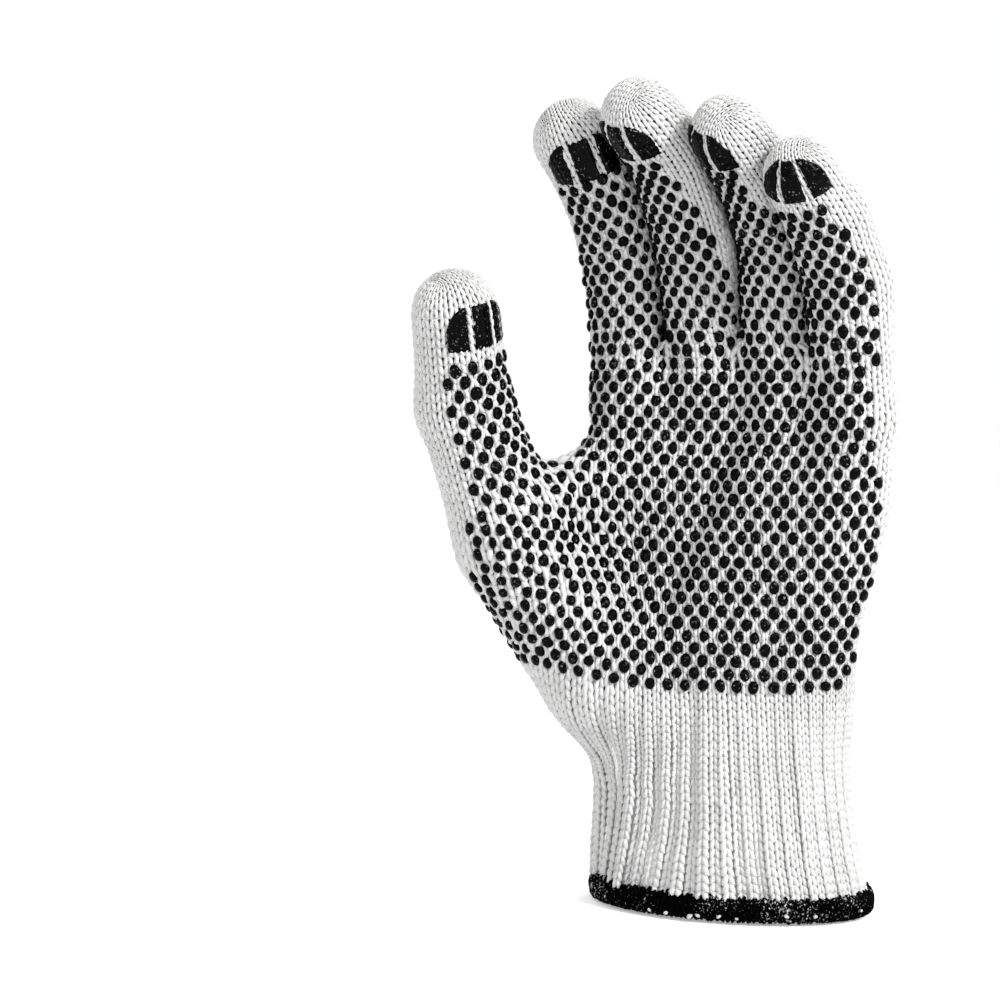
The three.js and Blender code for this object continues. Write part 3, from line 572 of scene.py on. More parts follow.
# Printed dots. On fingers and thumb they are laid out by stitches, on the palm by millimetres.
DOT_STEP = 1.5
DOT_ROW = 1.5
DOT_RADIUS = 1.6
DOT_HEIGHT = 0.8
DOT_BASE = 0.12
DOT_SEGMENTS = 12
DOME = np.array([(0.97, -0.5), (1.0, 0.05), (0.82, 0.6), (0.45, 0.9)])


def face_table(zone):
    pick = np.flatnonzero(ZONES == zone)
    return {(COLUMNS[i], ROWS[i]): i for i in pick}


def dot_spots(zone, sides, column_shift, row_shift, high):
    """Face, share across and share up of each dot of a zone, up to a row."""
    table = face_table(zone)
    count = max(c for c, _ in table) + 1
    spots = []
    for n in range(int(row_shift / DOT_ROW), int((row_shift + high) / DOT_ROW) + 2):
        y = n * DOT_ROW + 0.9 - row_shift
        if not 0 <= y < high:
            continue
        first, last = (mix(low, top, smooth_step(y / high) ** 2) for low, top in zip(*sides))
        for i in range(-4, 40):
            x = (i + 0.5 * (n % 2)) * DOT_STEP + 0.3 - column_shift
            at = (math.floor(x) % count, int(y))
            if first <= x <= last and at in table:
                spots.append((table[at], x - math.floor(x), y - int(y)))
    return spots


def spots_on_faces(spots):
    faces, across, upwards = (list(values) for values in zip(*spots))
    u, v = np.array(across)[:, None], np.array(upwards)[:, None]
    centre, out = on_face(QUADS[faces], u, v, np.zeros((len(faces), 1)))
    return centre[:, 0], out[:, 0]


DOT_PITCH = 5.0
DOT_RISE = 3.5
FIRST_DOTS = 66.0
LAST_DOTS = 164.5
DOT_ANCHOR = 8.0
WALK_STEP = 0.4
DOT_SPACE = 4.2
DOT_CLEAR = 3.0
DOT_JOIN = 2.9
EVEN_STEPS = 30


def front_of_glove(x, z):
    """The first places met by going from the palm side straight in, and whether there is one."""
    y = np.full_like(x, -75.0)
    whole = np.full(len(x), -1)
    for _ in range(70):
        near = distance(np.stack([x, y, z], 1), whole)
        y = np.minimum(y + 0.8 * np.maximum(near, 0), 25.0)
    p = np.stack([x, y, z], 1)
    return p, distance(p, whole) < 0.05


def palm_spots():
    """Rows of dots across the palm, a pitch apart along its front, from an upright line of dots."""
    places = []
    x = np.arange(-82, 62, WALK_STEP)
    begin = mix(thumb["points"][1], thumb["points"][2], 0.25)
    along_thumb = unit(thumb["points"][2] - thumb["points"][1])
    count = int((LAST_DOTS - FIRST_DOTS) / DOT_RISE) + 1
    for n in range(count):
        rise = 7.0 * smooth_step((-8.0 - x) / 45.0) * (1 - n / count) + 1.5 * smooth_step((x - 20.0) / 30.0)
        z = FIRST_DOTS + n * DOT_RISE + rise
        p, there = front_of_glove(x, z)
        out = unit(slope_of(p, np.full(len(x), -1)))
        on_thumb = chain(p, thumb["points"], thumb["radii"], KNUCKLE_BLEND) < 2
        on_thumb &= (p - begin) @ along_thumb > -1.0
        mound = np.interp(z, (66, 80, 92, 104, 112, 122), (-1.0, -0.93, -0.65, -0.25, -0.3, -0.9))
        good = there & (out[:, 1] < -0.15) & ~on_thumb & (p[:, 1] < 7) & (out[:, 0] > mound)
        bent = p + np.stack([np.zeros(len(x)), hollow(p), np.zeros(len(x))], 1)
        step = np.linalg.norm(np.diff(bent, axis=0), axis=1)
        length = np.concatenate([[0], np.cumsum(np.where(step < 3, step, WALK_STEP))])
        length -= np.interp(DOT_ANCHOR, x, length)
        for i in range(-25, 25):
            want = (i + 0.5 * (n % 2)) * DOT_PITCH
            if not length[0] < want < length[-1]:
                continue
            at = int(np.argmin(np.abs(length - want)))
            clear = not places or np.min(np.linalg.norm(np.array(places) - p[at], axis=1)) > DOT_CLEAR
            if good[at] and clear:
                places.append(p[at])
    return np.array(places)


def evened(places, others):
    """Dots nearer to a neighbour than the rest move apart over the surface."""
    whole = np.full(len(places), -1)
    for _ in range(EVEN_STEPS):
        away = places[:, None] - np.vstack([places, others])[None]
        gap = np.linalg.norm(away, axis=2)
        np.fill_diagonal(gap, 2 * DOT_SPACE)
        push = np.clip(DOT_SPACE - gap, 0, 1.5) / gap
        places = places + 0.4 * (away * push[..., None]).sum(1)
        places = places - unit(slope_of(places, whole)) * distance(places, whole)[:, None]
    ways = unit(slope_of(places, whole))
    places[:, 1] += hollow(places)
    return places, ways


# First and last column of a finger's dots at its base, and at its bars.
DOT_SIDES = dict(index=((-1.3, FACE + 0.6), (-0.2, FACE - 0.2)), middle=((-0.6, FACE + 1.9), (0, FACE - 1.2)),
                 ring=((-0.6, FACE + 2.6), (0, FACE - 0.9)), little=((-0.6, FACE + 0.3), (0.4, FACE - 1.4)))


# Free length between a finger's last dots and its bars, and the height of one row of a finger.
BAR_GAPS = dict(index=2.9, middle=3.9, ring=3.5, little=3.2)
FINGER_ROW = 2.45

DOTS = {}
for k, digit in enumerate(digits):
    name = digit["name"]
    bare = BAR_LENGTH / 2 - digit["bars"] + digit["radii"][-1] * CAP_ANGLE + BAR_GAPS[name]
    high = digit["rows"] - bare / FINGER_ROW
    spots = dot_spots(name, DOT_SIDES[name], THUMB_FACE + k * FACE, LOW_ROWS + HIGH_ROWS, high)
    DOTS[name] = spots_on_faces(spots)
thumb_spots = dot_spots("thumb", ((0, THUMB_FACE), (0.3, THUMB_FACE - 0.3)), 0, LOW_ROWS, THUMB_ROWS - 9.5)
DOTS["thumb"] = spots_on_faces(thumb_spots)
# How far the palm's dots go towards the little finger's side, by height.
DOTS_END = (60, 75, 100, 130, 160), (33.5, 38.0, 44.5, 45.5, 44.0)
palm_places = palm_spots()
dots_end = np.interp(palm_places[:, 2], *DOTS_END)
palm_places = palm_places[palm_places[:, 0] < dots_end]
for name, (places, ways) in DOTS.items():
    apart = np.linalg.norm(places[:, None] - palm_places[None], axis=2).min(1) > DOT_JOIN
    DOTS[name] = places[apart], ways[apart]
DOTS["palm"] = evened(palm_places, np.vstack([places for places, _ in DOTS.values()]))
DOT_TREE = KDTree(sum(len(places) for places, _ in DOTS.values()))
for number, place in enumerate(np.vstack([places for places, _ in DOTS.values()])):
    DOT_TREE.insert(place, number)
DOT_TREE.balance()


# A stitch's leg, from the loop below it to the loop above: share from the middle of the column,
# share of the row, and height over the knit.
LEG = np.array([(0.25, -0.22, -0.62), (0.325, 0.1, -0.02), (0.255, 0.5, 0.1), (0.17, 0.9, -0.04),
                (0.1, 1.28, -0.62)])
LEG_TAPER = np.array([0.7, 0.98, 1.15, 0.98, 0.7])
YARN_DEPTH = -0.42
# The yarn's radius as a share of the stitch's width, on plain knit and on the cuff, and its bounds.
YARN_SHARE = 0.19, 0.24
YARN_LEAST = 0.23, 0.6
YARN_MOST = 0.95
# Round a dot, yarn moves aside within one distance and is pressed in within a shorter one.
ASIDE_REACH = 2.6
ASIDE = 0.9
PRESSED_REACH = 2.1
PRESSED = 0.55
DOT_NEAR = 3.5
# Height of the cuff's ribs and of the soft folds, narrow and wide.
RIB_HEIGHT = 0.62
FOLD_HEIGHTS = 0.45, 0.7
# How strong the ribs are round the cuff, from the back of the thumb's side on.
RIB_DEPTHS = ((0, 8, 20, 30, 38, 46, 60, 80), (1.0, 1.3, 1.1, 0.7, 0.4, 0.5, 0.9, 1.0))
# Rows counted from the hem, for the faces below the thumb's root.
TALL_ROWS = ROWS + CUFF_ROWS * (ZONES == "heel")
WRIST = (ZONES == "cuff") | (ZONES == "heel")


def rib_lift(columns, rows):
    """How far a place of the cuff stands out: every other column does, and wider soft folds run up it."""
    fade = np.clip((CUFF_ROWS + 9 - rows) / 16, 0, 1)
    turn = 2 * np.pi * columns / WIDE_COUNT
    depth = np.interp(columns % WIDE_COUNT, *RIB_DEPTHS)
    ribs = RIB_HEIGHT * np.cos(np.pi * (columns - 0.5))
    narrow, wide = FOLD_HEIGHTS
    folds = narrow * np.sin(17 * turn + 0.05 * rows) + wide * np.sin(9 * turn + 1.3 - 0.09 * rows)
    return ((ribs + folds) * depth - 0.6) * fade


def give_way(path, out):
    """Yarn near a printed dot is pushed aside and pressed in."""
    flat = path.reshape(-1, 3)
    near = [DOT_TREE.find(place) for place in flat]
    away = (flat - np.array([n[0] for n in near])).reshape(path.shape)
    away -= out * (away * out).sum(-1, keepdims=True)
    gap = np.linalg.norm(away, axis=-1, keepdims=True)
    close = np.array([n[2] for n in near]).reshape(gap.shape) < DOT_NEAR
    aside = np.clip(1 - gap / ASIDE_REACH, 0, 1) * ASIDE * close
    pressed = smooth_step(PRESSED_REACH - gap) * PRESSED * close
    return path + away / np.maximum(gap, 0.3) * aside - out * pressed


def knit(name, zone):
    """The stitches of a zone: two legs of yarn over each of its faces."""
    pick = ZONES == zone
    q, columns, rows = QUADS[pick], COLUMNS[pick], TALL_ROWS[pick]
    n = len(q)
    a, b, c, d = (PLACES[q[:, i]] for i in range(4))
    width = np.linalg.norm(b - a + c - d, axis=1) / 2
    ribbed = zone in ("cuff", "heel")
    close = smooth_step((CUFF_ROWS + 8 - rows) / 12) if ribbed else np.zeros(n)
    thick = np.clip(mix(*YARN_SHARE, close) * width, mix(*YARN_LEAST, close), YARN_MOST)[:, None]
    thick = thick * RNG.normal(1, 0.05, (n, 1))
    parts = []
    for sign in (-1, 1):
        u = 0.5 + sign * LEG[:, 0] + RNG.normal(0, 0.018, (n, 1))
        v = LEG[:, 1] + RNG.normal(0, 0.03, (n, 1))
        w = LEG[:, 2] + YARN_DEPTH + RNG.normal(0, 0.04, (n, 1))
        if ribbed:
            w = w + rib_lift(columns[:, None] + u, rows[:, None] + v)
        path, out = on_face(q, u, v, w)
        path = give_way(path, out)
        parts.append((path, out, thick * LEG_TAPER))
    path, out, radii = (np.concatenate([p[i] for p in parts]) for i in range(3))
    points, loops, sizes, uv = tubes(path, out, radii)
    return build(name, points, loops, sizes, KNIT, uv)


# Materials.
def material(name, colour, roughness, shine):
    m = bpy.data.materials.new(name)
    m.use_nodes = True
    tree = m.node_tree
    shader = tree.nodes["Principled BSDF"]
    shader.inputs["Base Color"].default_value = (*colour, 1)
    shader.inputs["Roughness"].default_value = roughness
    shader.inputs["Specular IOR Level"].default_value = shine
    return m, tree, shader


def node(tree, kind, **values):
    made = tree.nodes.new(kind)
    for key, value in values.items():
        if hasattr(made, key):
            setattr(made, key, value)
        else:
            made.inputs[key.replace("_", " ")].default_value = value
    return made


def noise(tree, scale, detail):
    place = node(tree, "ShaderNodeTexCoord")
    made = node(tree, "ShaderNodeTexNoise", Scale=scale, Detail=detail)
    tree.links.new(place.outputs["Object"], made.inputs["Vector"])
    return made.outputs[0]


def surface(tree, shader, dark, light, factor, height, strength, depth):
    """Colour from dark to light by a factor, and relief from a height."""
    ramp = node(tree, "ShaderNodeMix", data_type="RGBA")
    ramp.inputs["A"].default_value = (*dark, 1)
    ramp.inputs["B"].default_value = (*light, 1)
    tree.links.new(factor, ramp.inputs["Factor"])
    tree.links.new(ramp.outputs["Result"], shader.inputs["Base Color"])
    bump = node(tree, "ShaderNodeBump", Strength=strength, Distance=depth)
    tree.links.new(height, bump.inputs["Height"])
    tree.links.new(bump.outputs["Normal"], shader.inputs["Normal"])


def yarn_material(name, dark, light, roughness, sheen, shine):
    """Spun yarn: plies twisted round it, fine fuzz, and a little difference from stitch to stitch."""
    m, tree, shader = material(name, light, roughness, shine)
    link = tree.links.new
    uv = node(tree, "ShaderNodeUVMap", uv_map="yarn")
    turn = node(tree, "ShaderNodeMapping")
    turn.inputs["Scale"].default_value = (1.0, 0.55, 1.0)
    link(uv.outputs["UV"], turn.inputs["Vector"])
    split = node(tree, "ShaderNodeSeparateXYZ")
    link(turn.outputs["Vector"], split.inputs[0])
    total = node(tree, "ShaderNodeMath", operation="ADD")
    link(split.outputs[0], total.inputs[0])
    link(split.outputs[1], total.inputs[1])
    plies = node(tree, "ShaderNodeMath", operation="MULTIPLY")
    plies.inputs[1].default_value = 2 * math.pi * 3
    link(total.outputs[0], plies.inputs[0])
    wave = node(tree, "ShaderNodeMath", operation="SINE")
    link(plies.outputs[0], wave.inputs[0])
    relief = node(tree, "ShaderNodeMath", operation="MULTIPLY_ADD")
    relief.inputs[1].default_value = 0.28
    link(wave.outputs[0], relief.inputs[0])
    link(noise(tree, 2600.0, 3.0), relief.inputs[2])
    each = node(tree, "ShaderNodeNewGeometry")
    shade = node(tree, "ShaderNodeMath", operation="MULTIPLY_ADD")
    shade.inputs[1].default_value = 0.5
    link(each.outputs["Random Per Island"], shade.inputs[0])
    link(noise(tree, 90.0, 2.0), shade.inputs[2])
    surface(tree, shader, dark, light, shade.outputs[0], relief.outputs[0], 0.75, 0.00022)
    shader.inputs["Sheen Weight"].default_value = sheen
    shader.inputs["Sheen Roughness"].default_value = 0.5
    return m


def plain_material(name, dark, light, roughness, scale, depth, sheen=0.0, shine=0.3):
    """A surface with a fine uneven grain."""
    m, tree, shader = material(name, light, roughness, shine)
    grain = noise(tree, scale, 4.0)
    surface(tree, shader, dark, light, grain, grain, 0.8, depth)
    shader.inputs["Sheen Weight"].default_value = sheen
    return m


def painted_glint_material(name, dark, light, roughness, scale, least, uneven, shine, depth):
    """Black, with pale specks scattered through it: the specks are painted highlights, glints of light on the
    grain.
    """
    m, tree, shader = material(name, light, roughness, shine)
    link = tree.links.new
    grain = noise(tree, scale, 3.0)
    amount = node(tree, "ShaderNodeMath", operation="MULTIPLY_ADD")
    amount.inputs[1].default_value = uneven
    link(noise(tree, 60.0, 1.0), amount.inputs[0])
    link(grain, amount.inputs[2])
    # Where the noise passes a threshold, the colour turns to the pale painted highlight.
    spread = node(tree, "ShaderNodeMapRange")
    for key, value in (("From Min", least), ("From Max", least + 0.13), ("To Min", 0.0), ("To Max", 1.0)):
        spread.inputs[key].default_value = value
    link(amount.outputs[0], spread.inputs["Value"])
    surface(tree, shader, dark, light, spread.outputs["Result"], grain, 1.0, depth)
    return m


KNIT = yarn_material("knit_yarn", (0.42, 0.42, 0.418), (0.515, 0.515, 0.512), 0.92, 0.05, 0.2)
# The hem's pale specks are painted highlights on the black thread.
HEM_YARN_PAINTED_GLINTS = painted_glint_material("hem_yarn_painted_glints", (0.0004, 0.0004, 0.0004), (0.4, 0.4, 0.405), 0.9, 1500.0,
                             least=0.88, uneven=0.5, shine=0.02, depth=0.0003)
# Painted shade: the lining's outer colours stand in for the shadow inside the gaps between stitches.
GAP_PAINTED_SHADE_DARK = plain_material("lining_painted_shade_dark", (0.03, 0.03, 0.031), (0.06, 0.06, 0.062), 0.95, 900.0, 0.0002)
GAP_PAINTED_SHADE_PALE = plain_material("lining_painted_shade_pale", (0.36, 0.36, 0.357), (0.46, 0.46, 0.456), 0.95, 900.0, 0.0002)
LINING_IN = plain_material("lining_inside", (0.62, 0.62, 0.61), (0.78, 0.78, 0.76), 0.95, 700.0, 0.0004, 0.2)
# The print's pale specks on dots and bars are painted highlights.
PRINT_PAINTED_GLINTS = painted_glint_material("print", (0.0002, 0.0002, 0.0002), (0.2, 0.2, 0.2), 0.2, 1300.0,
                          least=0.685, uneven=0.1, shine=0.045, depth=0.00016)


def own(piece, slot, *nodes):
    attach(piece, "root")
    if nodes:
        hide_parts(*nodes)
    return piece


own(knit("knit_cuff", "cuff"), "knit", "rib_cuff")
own(knit("knit_heel", "heel"), "knit", "palm_shell")
own(knit("knit_palm", "palm"), "knit", "palm_shell")
for digit in [*digits, thumb]:
    own(knit("knit_" + digit["name"], digit["name"]), "knit", digit["name"] + "_finger")


# The wall under the stitches. Its outer face is painted shade seen through the gaps: near black on the palm
# side, paler grey at the back and the cuff. Its inner face is the glove's pale inside.
WALL_OUTSIDE = -1.3
WALL_INSIDE = -2.1
BEHIND = 0.25


def lining():
    lift = np.zeros(len(PLACES))
    for corner, (c, r) in enumerate(((0, 0), (1, 0), (1, 1), (0, 1))):
        lift[QUADS[WRIST, corner]] = rib_lift(COLUMNS[WRIST] + c, TALL_ROWS[WRIST] + r)
    outer = PLACES + NORMALS * (WALL_OUTSIDE + lift[:, None])
    inner = PLACES + NORMALS * WALL_INSIDE
    count = len(PLACES)
    edges = {}
    for a, b, c, d in QUADS:
        for i, j in ((a, b), (b, c), (c, d), (d, a)):
            edges[(i, j)] = True
    rim = [(i, j) for i, j in edges if (j, i) not in edges]
    quads = np.vstack([QUADS, QUADS[:, ::-1] + count, [(j, i, i + count, j + count) for i, j in rim]])
    piece = build("lining", np.vstack([outer, inner]), quads.ravel(), np.full(len(quads), 4),
                  [GAP_PAINTED_SHADE_DARK, LINING_IN, GAP_PAINTED_SHADE_PALE])
    slots = np.where(np.arange(len(quads)) < len(QUADS), 0, 1)
    # Faces turned to the back, and at random some of the cuff's lowest rows, take the paler painted shade.
    behind = NORMALS[QUADS].mean(1)[:, 1] > BEHIND
    low = WRIST & (RNG.random(len(QUADS)) < (CUFF_ROWS + 9 - TALL_ROWS) / 10)
    slots[:len(QUADS)][behind | low] = 2
    piece.data.polygons.foreach_set("material_index", slots.astype(np.int32))
    return piece


own(lining(), "knit")

# Printed dots.
def dots(name, centre, out):
    n = len(centre)
    e1 = square(np.tile(np.array([1.0, 0, 0]), (n, 1)), out)
    e2 = np.cross(out, e1)
    space = np.array([DOT_TREE.find_n(place, 2)[1][2] for place in centre])
    room = np.clip(space / DOT_SPACE, 0.82, 1.04)[:, None]
    centre = centre + e1 * RNG.normal(0, 0.16, (n, 1)) + e2 * RNG.normal(0, 0.13, (n, 1))
    wide = RNG.normal(0.93, 0.05, n)
    tall = RNG.normal(1.1, 0.06, n)
    angle = 2 * np.pi * np.arange(DOT_SEGMENTS) / DOT_SEGMENTS
    ragged = room + RNG.normal(0, 0.035, (n, 1)) + sum(
        RNG.normal(0, s, (n, 1)) * np.cos(k * angle + RNG.uniform(0, 2 * np.pi, (n, 1)))
        for k, s in ((2, 0.05), (3, 0.03), (5, 0.02)))
    height = DOT_HEIGHT * RNG.normal(1, 0.08, n)
    points = []
    for reach, rise in DOME:
        r = DOT_RADIUS * reach * ragged
        ringed = (centre[:, None] + e1[:, None] * (r * wide[:, None] * np.cos(angle))[..., None]
                  + e2[:, None] * (r * tall[:, None] * np.sin(angle))[..., None]
                  + out[:, None] * (DOT_BASE + rise * height)[:, None, None])
        points.append(ringed)
    points = np.stack(points, 1)
    top = centre + out * (DOT_BASE + height)[:, None]
    m = len(DOME)
    block = np.concatenate([points.reshape(n, -1, 3), top[:, None]], 1)
    size = block.shape[1]
    base = np.arange(m * DOT_SEGMENTS).reshape(m, DOT_SEGMENTS)
    nxt = np.roll(base, -1, 1)
    quads = np.stack([base[:-1], nxt[:-1], nxt[1:], base[1:]], -1).reshape(-1, 4)
    tris = np.stack([base[-1], nxt[-1], np.full(DOT_SEGMENTS, size - 1)], -1)
    offset = (np.arange(n) * size)[:, None]
    loops = np.concatenate([(part + offset).ravel() for part in (quads.ravel(), tris.ravel(), base[0, ::-1])])
    sizes = np.concatenate([np.full(n * len(quads), 4), np.full(n * len(tris), 3), np.full(n, DOT_SEGMENTS)])
    return build(name, block.reshape(-1, 3), loops, sizes, PRINT_PAINTED_GLINTS)


for name, (places, ways) in DOTS.items():
    own(dots("dots_" + name, places, ways), "print")


# Printed bars on the fingertips.
BAR_BASE = 0.12
BAR_CROWN = 0.36
BAR_DEPTH = 0.35


def bar(name, digit, label, side):
    points, radii = digit["points"], digit["radii"]
    tip, radius = points[-1], radii[-1]
    way = unit(tip - points[-2])
    out = square(digit["pad"], way)
    across = np.cross(way, out)
    columns, rows = 12, 22
    shares = np.linspace(0, 1, columns + 1), np.linspace(0, 1, rows + 1)
    u, v = (a.ravel() for a in np.meshgrid(*shares, indexing="ij"))
    arch = np.ones_like(u) if side == 0 else np.sqrt(1 - (BAR_ROUNDING * (u if side > 0 else 1 - u)) ** 2)
    ragged = 0.12 * np.sin(7.3 * v * BAR_LENGTH / 3 + side) + 0.1 * np.sin(17.1 * v + 2 * side)
    end = 0.15 * np.sin(11 * u + side * 2.1) + 0.12 * np.sin(23 * u)
    aside = (u - 0.5) * (BAR_WIDTH + ragged) + side * (BAR_WIDTH + BAR_SPACE)
    ahead = (v * arch - 0.5) * (BAR_LENGTH + end)
    angle = (aside + digit["slant"] * ahead) / radius
    length = digit["bars"] + ahead - digit["slant"] * aside
    past = np.maximum(0, length) / radius
    radial = np.outer(np.cos(angle), out) + np.outer(np.sin(angle), across)
    on_bone = tip + np.outer(np.minimum(0, length) + radius * np.sin(past), way)
    place = settle(on_bone + radial * (radius * np.cos(past))[:, None], np.full(len(u), label), 4)
    normal = unit(slope_of(place, np.full(len(u), label)))
    edge = np.minimum(np.minimum(u, 1 - u) * columns, np.minimum(v, 1 - v) * rows)
    crown = BAR_BASE + BAR_CROWN * np.clip(edge / 1.5, 0, 1) ** 0.5
    knit_below = 0.1 * np.cos(2 * np.pi * (angle * radius) / 1.7) + 0.08 * np.cos(2 * np.pi * length / 2.35)
    high = place + normal * (crown + knit_below)[:, None]
    low = place - normal * BAR_DEPTH
    at = np.arange((columns + 1) * (rows + 1)).reshape(columns + 1, rows + 1)
    top = np.stack([at[:-1, :-1], at[1:, :-1], at[1:, 1:], at[:-1, 1:]], -1).reshape(-1, 4)
    count = len(u)
    loop = np.concatenate([at[:-1, 0], at[-1, :-1], at[:0:-1, -1], at[0, :0:-1]])
    after = np.roll(loop, -1)
    rim = np.stack([after, loop, loop + count, after + count], -1)
    quads = np.vstack([top, top[:, ::-1] + count, rim])
    return build(name, np.vstack([high, low]), quads.ravel(), np.full(len(quads), 4), PRINT_PAINTED_GLINTS)


for k, digit in enumerate([*digits, thumb]):
    label = -1 if digit is thumb else k
    for side in (-1, 0, 1):
        name = "bar_%s_%d" % (digit["name"], side + 2)
        own(bar(name, digit, label, side), "print", "grip_" + name)


# The overlocked hem: a padded band wrapped with slanted thread.
HEM_TURNS = 168
HEM_SHIFT = HEM_WALL / 2 - 2.0


def hem_line(count, z):
    a, b, shift = section_at(z)
    flat = ring(count, 0, np.array([shift, 0.0, z]), np.array([1.0, 0, 0]), np.array([0, -1.0, 0]), a, b)
    place = settle(flat, np.full(count, -1), 6, flat=True)
    normal = slope_of(place, np.full(count, -1))
    normal[:, 2] = 0
    return place, unit(normal)


def hem_band():
    count, section = 120, 14
    angle = 2 * np.pi * np.arange(section) / section
    place, normal = hem_line(count, HEM_HEIGHT / 2)
    middle = place + normal * HEM_SHIFT
    side = np.sign(np.cos(angle)) * np.abs(np.cos(angle)) ** 0.7 * (HEM_WALL / 2 - 0.25)
    rise = np.sign(np.sin(angle)) * np.abs(np.sin(angle)) ** 0.7 * (HEM_HEIGHT / 2 - 0.45)
    points = middle[:, None] + normal[:, None] * side[:, None]
    points[:, :, 2] = HEM_HEIGHT / 2 - 0.1 + rise
    index = np.arange(count * section).reshape(count, section)
    nxt, above = np.roll(index, -1, 1), np.roll(index, -1, 0)
    quads = np.stack([index, above, np.roll(above, -1, 1), nxt], -1).reshape(-1, 4)
    lengths = np.linspace(0, 210, count)
    uv = np.stack([np.broadcast_to(angle / 6.3, (count, section)),
                   np.broadcast_to(lengths[:, None], (count, section))], -1)
    return points.reshape(-1, 3), quads.ravel(), np.full(len(quads), 4), uv.reshape(-1, 2)


def hem_thread(turns, radius, slant, spread):
    per_turn = 8
    place, normal = hem_line(per_turn * turns, HEM_HEIGHT / 2)
    along = unit(np.roll(place, -1, 0) - np.roll(place, 1, 0))
    steps_round = 12
    angle = 2 * np.pi * np.arange(steps_round) / steps_round
    at = np.arange(turns) * per_turn
    centre = place[at] + normal[at] * HEM_SHIFT
    out, way = normal[at], along[at]
    side = np.cos(angle) * (HEM_WALL / 2 - 0.1)
    reach = (HEM_HEIGHT / 2 - 0.35) * (1 + RNG.normal(0, spread, (turns, 1)) * (np.sin(angle) > 0.3))
    rise = np.sign(np.sin(angle)) * np.abs(np.sin(angle)) ** 0.75 * reach
    lean = slant * np.sin(angle) + RNG.normal(0, 0.18, (turns, steps_round))
    side = side + RNG.normal(0, 0.07, (turns, steps_round))
    path = centre[:, None] + out[:, None] * side[..., None] + way[:, None] * lean[..., None]
    path[:, :, 2] = HEM_HEIGHT / 2 - 0.1 + rise + RNG.normal(0, 0.1, (turns, steps_round))
    radial = unit(out[:, None] * np.cos(angle)[:, None] + np.array([0, 0, 1.0]) * np.sin(angle)[:, None])
    radii = np.full((turns, steps_round), radius) * RNG.normal(1, 0.12, (turns, 1))
    return tubes(path, radial, radii, closed=True)


def joined(name, parts, material):
    points, loops, sizes, uvs, count = [], [], [], [], 0
    for p, l, s, uv in parts:
        points.append(p)
        loops.append(l + count)
        sizes.append(s)
        uvs.append(uv)
        count += len(p)
    loops, sizes = np.concatenate(loops), np.concatenate(sizes)
    return build(name, np.vstack(points), loops, sizes, material, np.vstack(uvs))


hem_parts = [hem_band(), hem_thread(HEM_TURNS, 0.5, 0.9, 0.12), hem_thread(HEM_TURNS // 2, 0.42, -1.1, 0.22)]
own(joined("hem", hem_parts, HEM_YARN_PAINTED_GLINTS), "edging", "cuff_hem")


def hem_flecks():
    """Ends of the white knit that come through between the edging's threads."""
    turns = np.array([0.935, 0.957, 0.985, 0.994, 0.018, 0.038, 0.094, 0.13,
                      0.21, 0.3, 0.37, 0.43, 0.52, 0.58, 0.64, 0.75, 0.86])
    fine = 800
    place, normal = hem_line(fine, HEM_HEIGHT / 2)
    at = (turns * fine).astype(int) % fine
    rise = RNG.uniform(-0.75, -0.3, len(turns)) * (HEM_HEIGHT / 2)
    size = RNG.uniform(0.35, 0.65, len(turns))
    out, along = normal[at], unit(np.roll(place, -1, 0) - np.roll(place, 1, 0))[at]
    t = np.linspace(-1, 1, 5)
    path = (place[at] + out * 1.25)[:, None] + (along * (size * 1.1)[:, None])[:, None] * t[:, None]
    path = path - out[:, None] * (0.5 * t ** 2)[:, None]
    path[:, :, 2] = (HEM_HEIGHT / 2 + rise)[:, None] + 0.5 * t * RNG.uniform(-1, 1, (len(turns), 1))
    radii = size[:, None] * (1 - 0.5 * t ** 2) * RNG.uniform(0.8, 1.2, (len(turns), len(t)))
    points, loops, sizes, uv = tubes(path, np.repeat(out[:, None], len(t), 1), radii, section=8)
    return build("hem_flecks", points, loops, sizes, KNIT, uv)


own(hem_flecks(), "knit")


# Camera, light and floor.
AZIMUTH = math.radians(22)
ELEVATION = math.radians(3)
LENS = 85.0
SENSOR = 36.0
REACH = 690.0
# The image's side, and where the part's origin falls in it, in pixels.
IMAGE_SIZE = 1000
ORIGIN_AT = (728.0, 902.0)
level = math.cos(ELEVATION)
back = np.array([math.sin(AZIMUTH) * level, -math.cos(AZIMUTH) * level, math.sin(ELEVATION)])
right = np.array([math.cos(AZIMUTH), math.sin(AZIMUTH), 0.0])
up = np.cross(back, right)
focal = LENS / SENSOR * IMAGE_SIZE
aside, below = ORIGIN_AT[0] - IMAGE_SIZE / 2, ORIGIN_AT[1] - IMAGE_SIZE / 2
eye = back * REACH - right * aside / focal * REACH + up * below / focal * REACH
camera = bpy.data.objects.new("camera", bpy.data.cameras.new("camera"))
camera.data.lens = LENS
camera.data.sensor_width = SENSOR
camera.data.clip_start = 0.01
camera.data.clip_end = 50.0
turned = np.eye(4)
turned[:3, 0], turned[:3, 1], turned[:3, 2], turned[:3, 3] = right, up, back, eye * MM
camera.matrix_world = Matrix(turned.tolist())
bpy.context.scene.collection.objects.link(camera)
bpy.context.scene.camera = camera


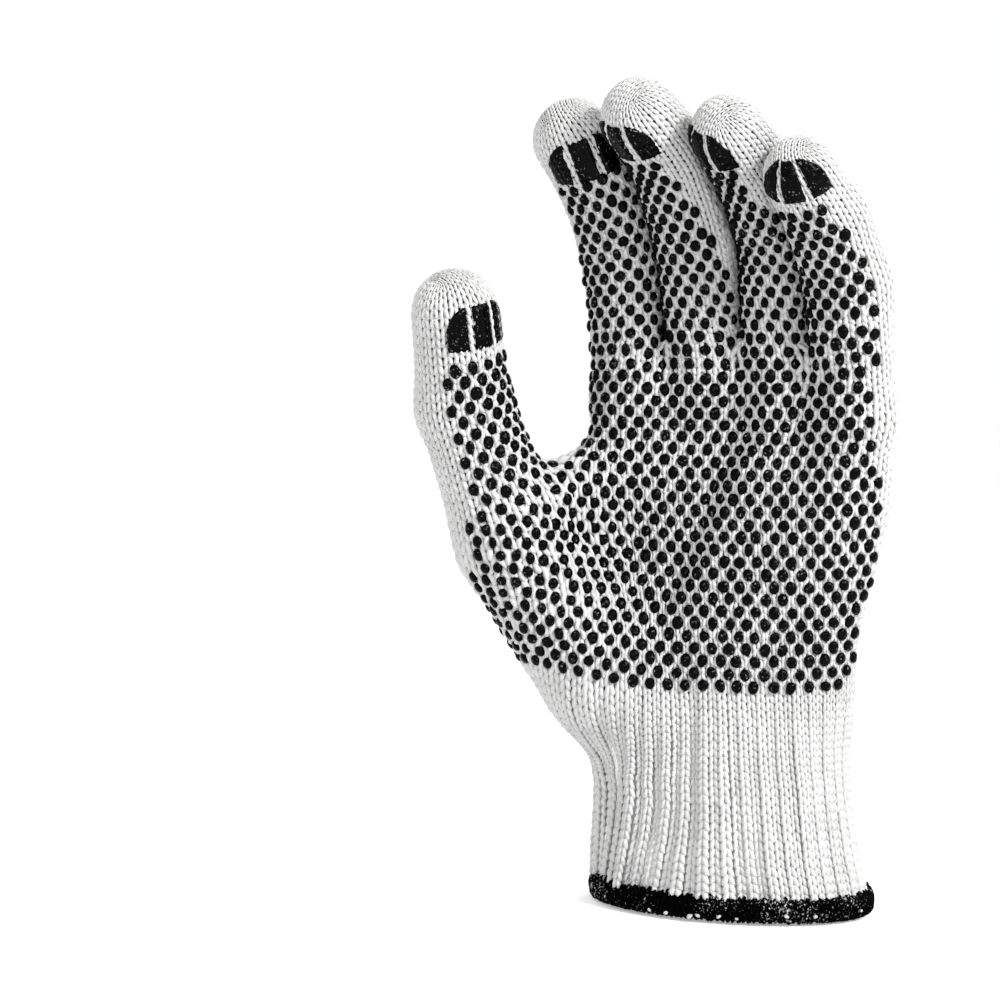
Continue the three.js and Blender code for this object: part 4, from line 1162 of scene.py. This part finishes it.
def lamp(name, place, size, power):
    light = bpy.data.lights.new(name, "AREA")
    light.shape = "DISK"
    light.size = size
    light.energy = power
    thing = bpy.data.objects.new(name, light)
    place = np.array(place, float)
    z = unit(place - AIM)
    x = unit(np.cross(np.array([0, 0, 1.0]), z))
    basis = np.eye(4)
    basis[:3, 0], basis[:3, 1], basis[:3, 2], basis[:3, 3] = x, np.cross(z, x), z, place
    thing.matrix_world = Matrix(basis.tolist())
    bpy.context.scene.collection.objects.link(thing)


# Lamps in metres and watts, aimed at the middle of the glove.
AIM = np.array([0, 0, 0.12])
lamp("key", (1.0, -0.45, 0.8), 0.3, 20.0)
lamp("front", (0.35, -1.25, 0.55), 0.16, 4.5)
lamp("top", (0.3, 0.1, 1.3), 0.6, 3.0)
lamp("rear", (0.3, 1.3, 0.6), 0.8, 14.0)
lamp("side", (-1.2, 0.9, 0.5), 0.8, 7.0)


FLOOR = -0.0008


def stage():
    """A wide round floor, which the glove stands on, lit so that it shows hardly any shadow."""
    count = 96
    angle = 2 * np.pi * np.arange(count) / count
    radii = (0.3, 1.0, 3.0, 8.0)
    flat = np.stack([np.cos(angle), np.sin(angle), np.zeros(count)], 1)
    points = (np.concatenate([r * flat for r in radii]) + np.array([0, 0, FLOOR])) / MM
    index = np.arange(len(radii) * count).reshape(len(radii), count)
    nxt = np.roll(index, -1, 1)
    quads = np.stack([index[:-1], index[1:], nxt[1:], nxt[:-1]], -1).reshape(-1, 4)
    loops = np.concatenate([quads.ravel(), index[0]])
    sizes = np.concatenate([np.full(len(quads), 4), [count]])
    m = plain_material("studio_floor", (0.67, 0.67, 0.67), (0.69, 0.69, 0.69), 1.0, 3.0, 0.00001, shine=0.0)
    shader = m.node_tree.nodes["Principled BSDF"]
    shader.inputs["Emission Color"].default_value = (1, 1, 1, 1)
    shader.inputs["Emission Strength"].default_value = 0.3
    build("studio", points, loops, sizes, m)


stage()
world = bpy.data.worlds.new("world")
world.use_nodes = True
world.node_tree.nodes["Background"].inputs["Color"].default_value = (1, 1, 1, 1)
world.node_tree.nodes["Background"].inputs["Strength"].default_value = 1.02
bpy.context.scene.world = world
bpy.context.scene.view_settings.view_transform = "Standard"
bpy.context.scene.view_settings.look = "None"

bpy.context.view_layer.update()
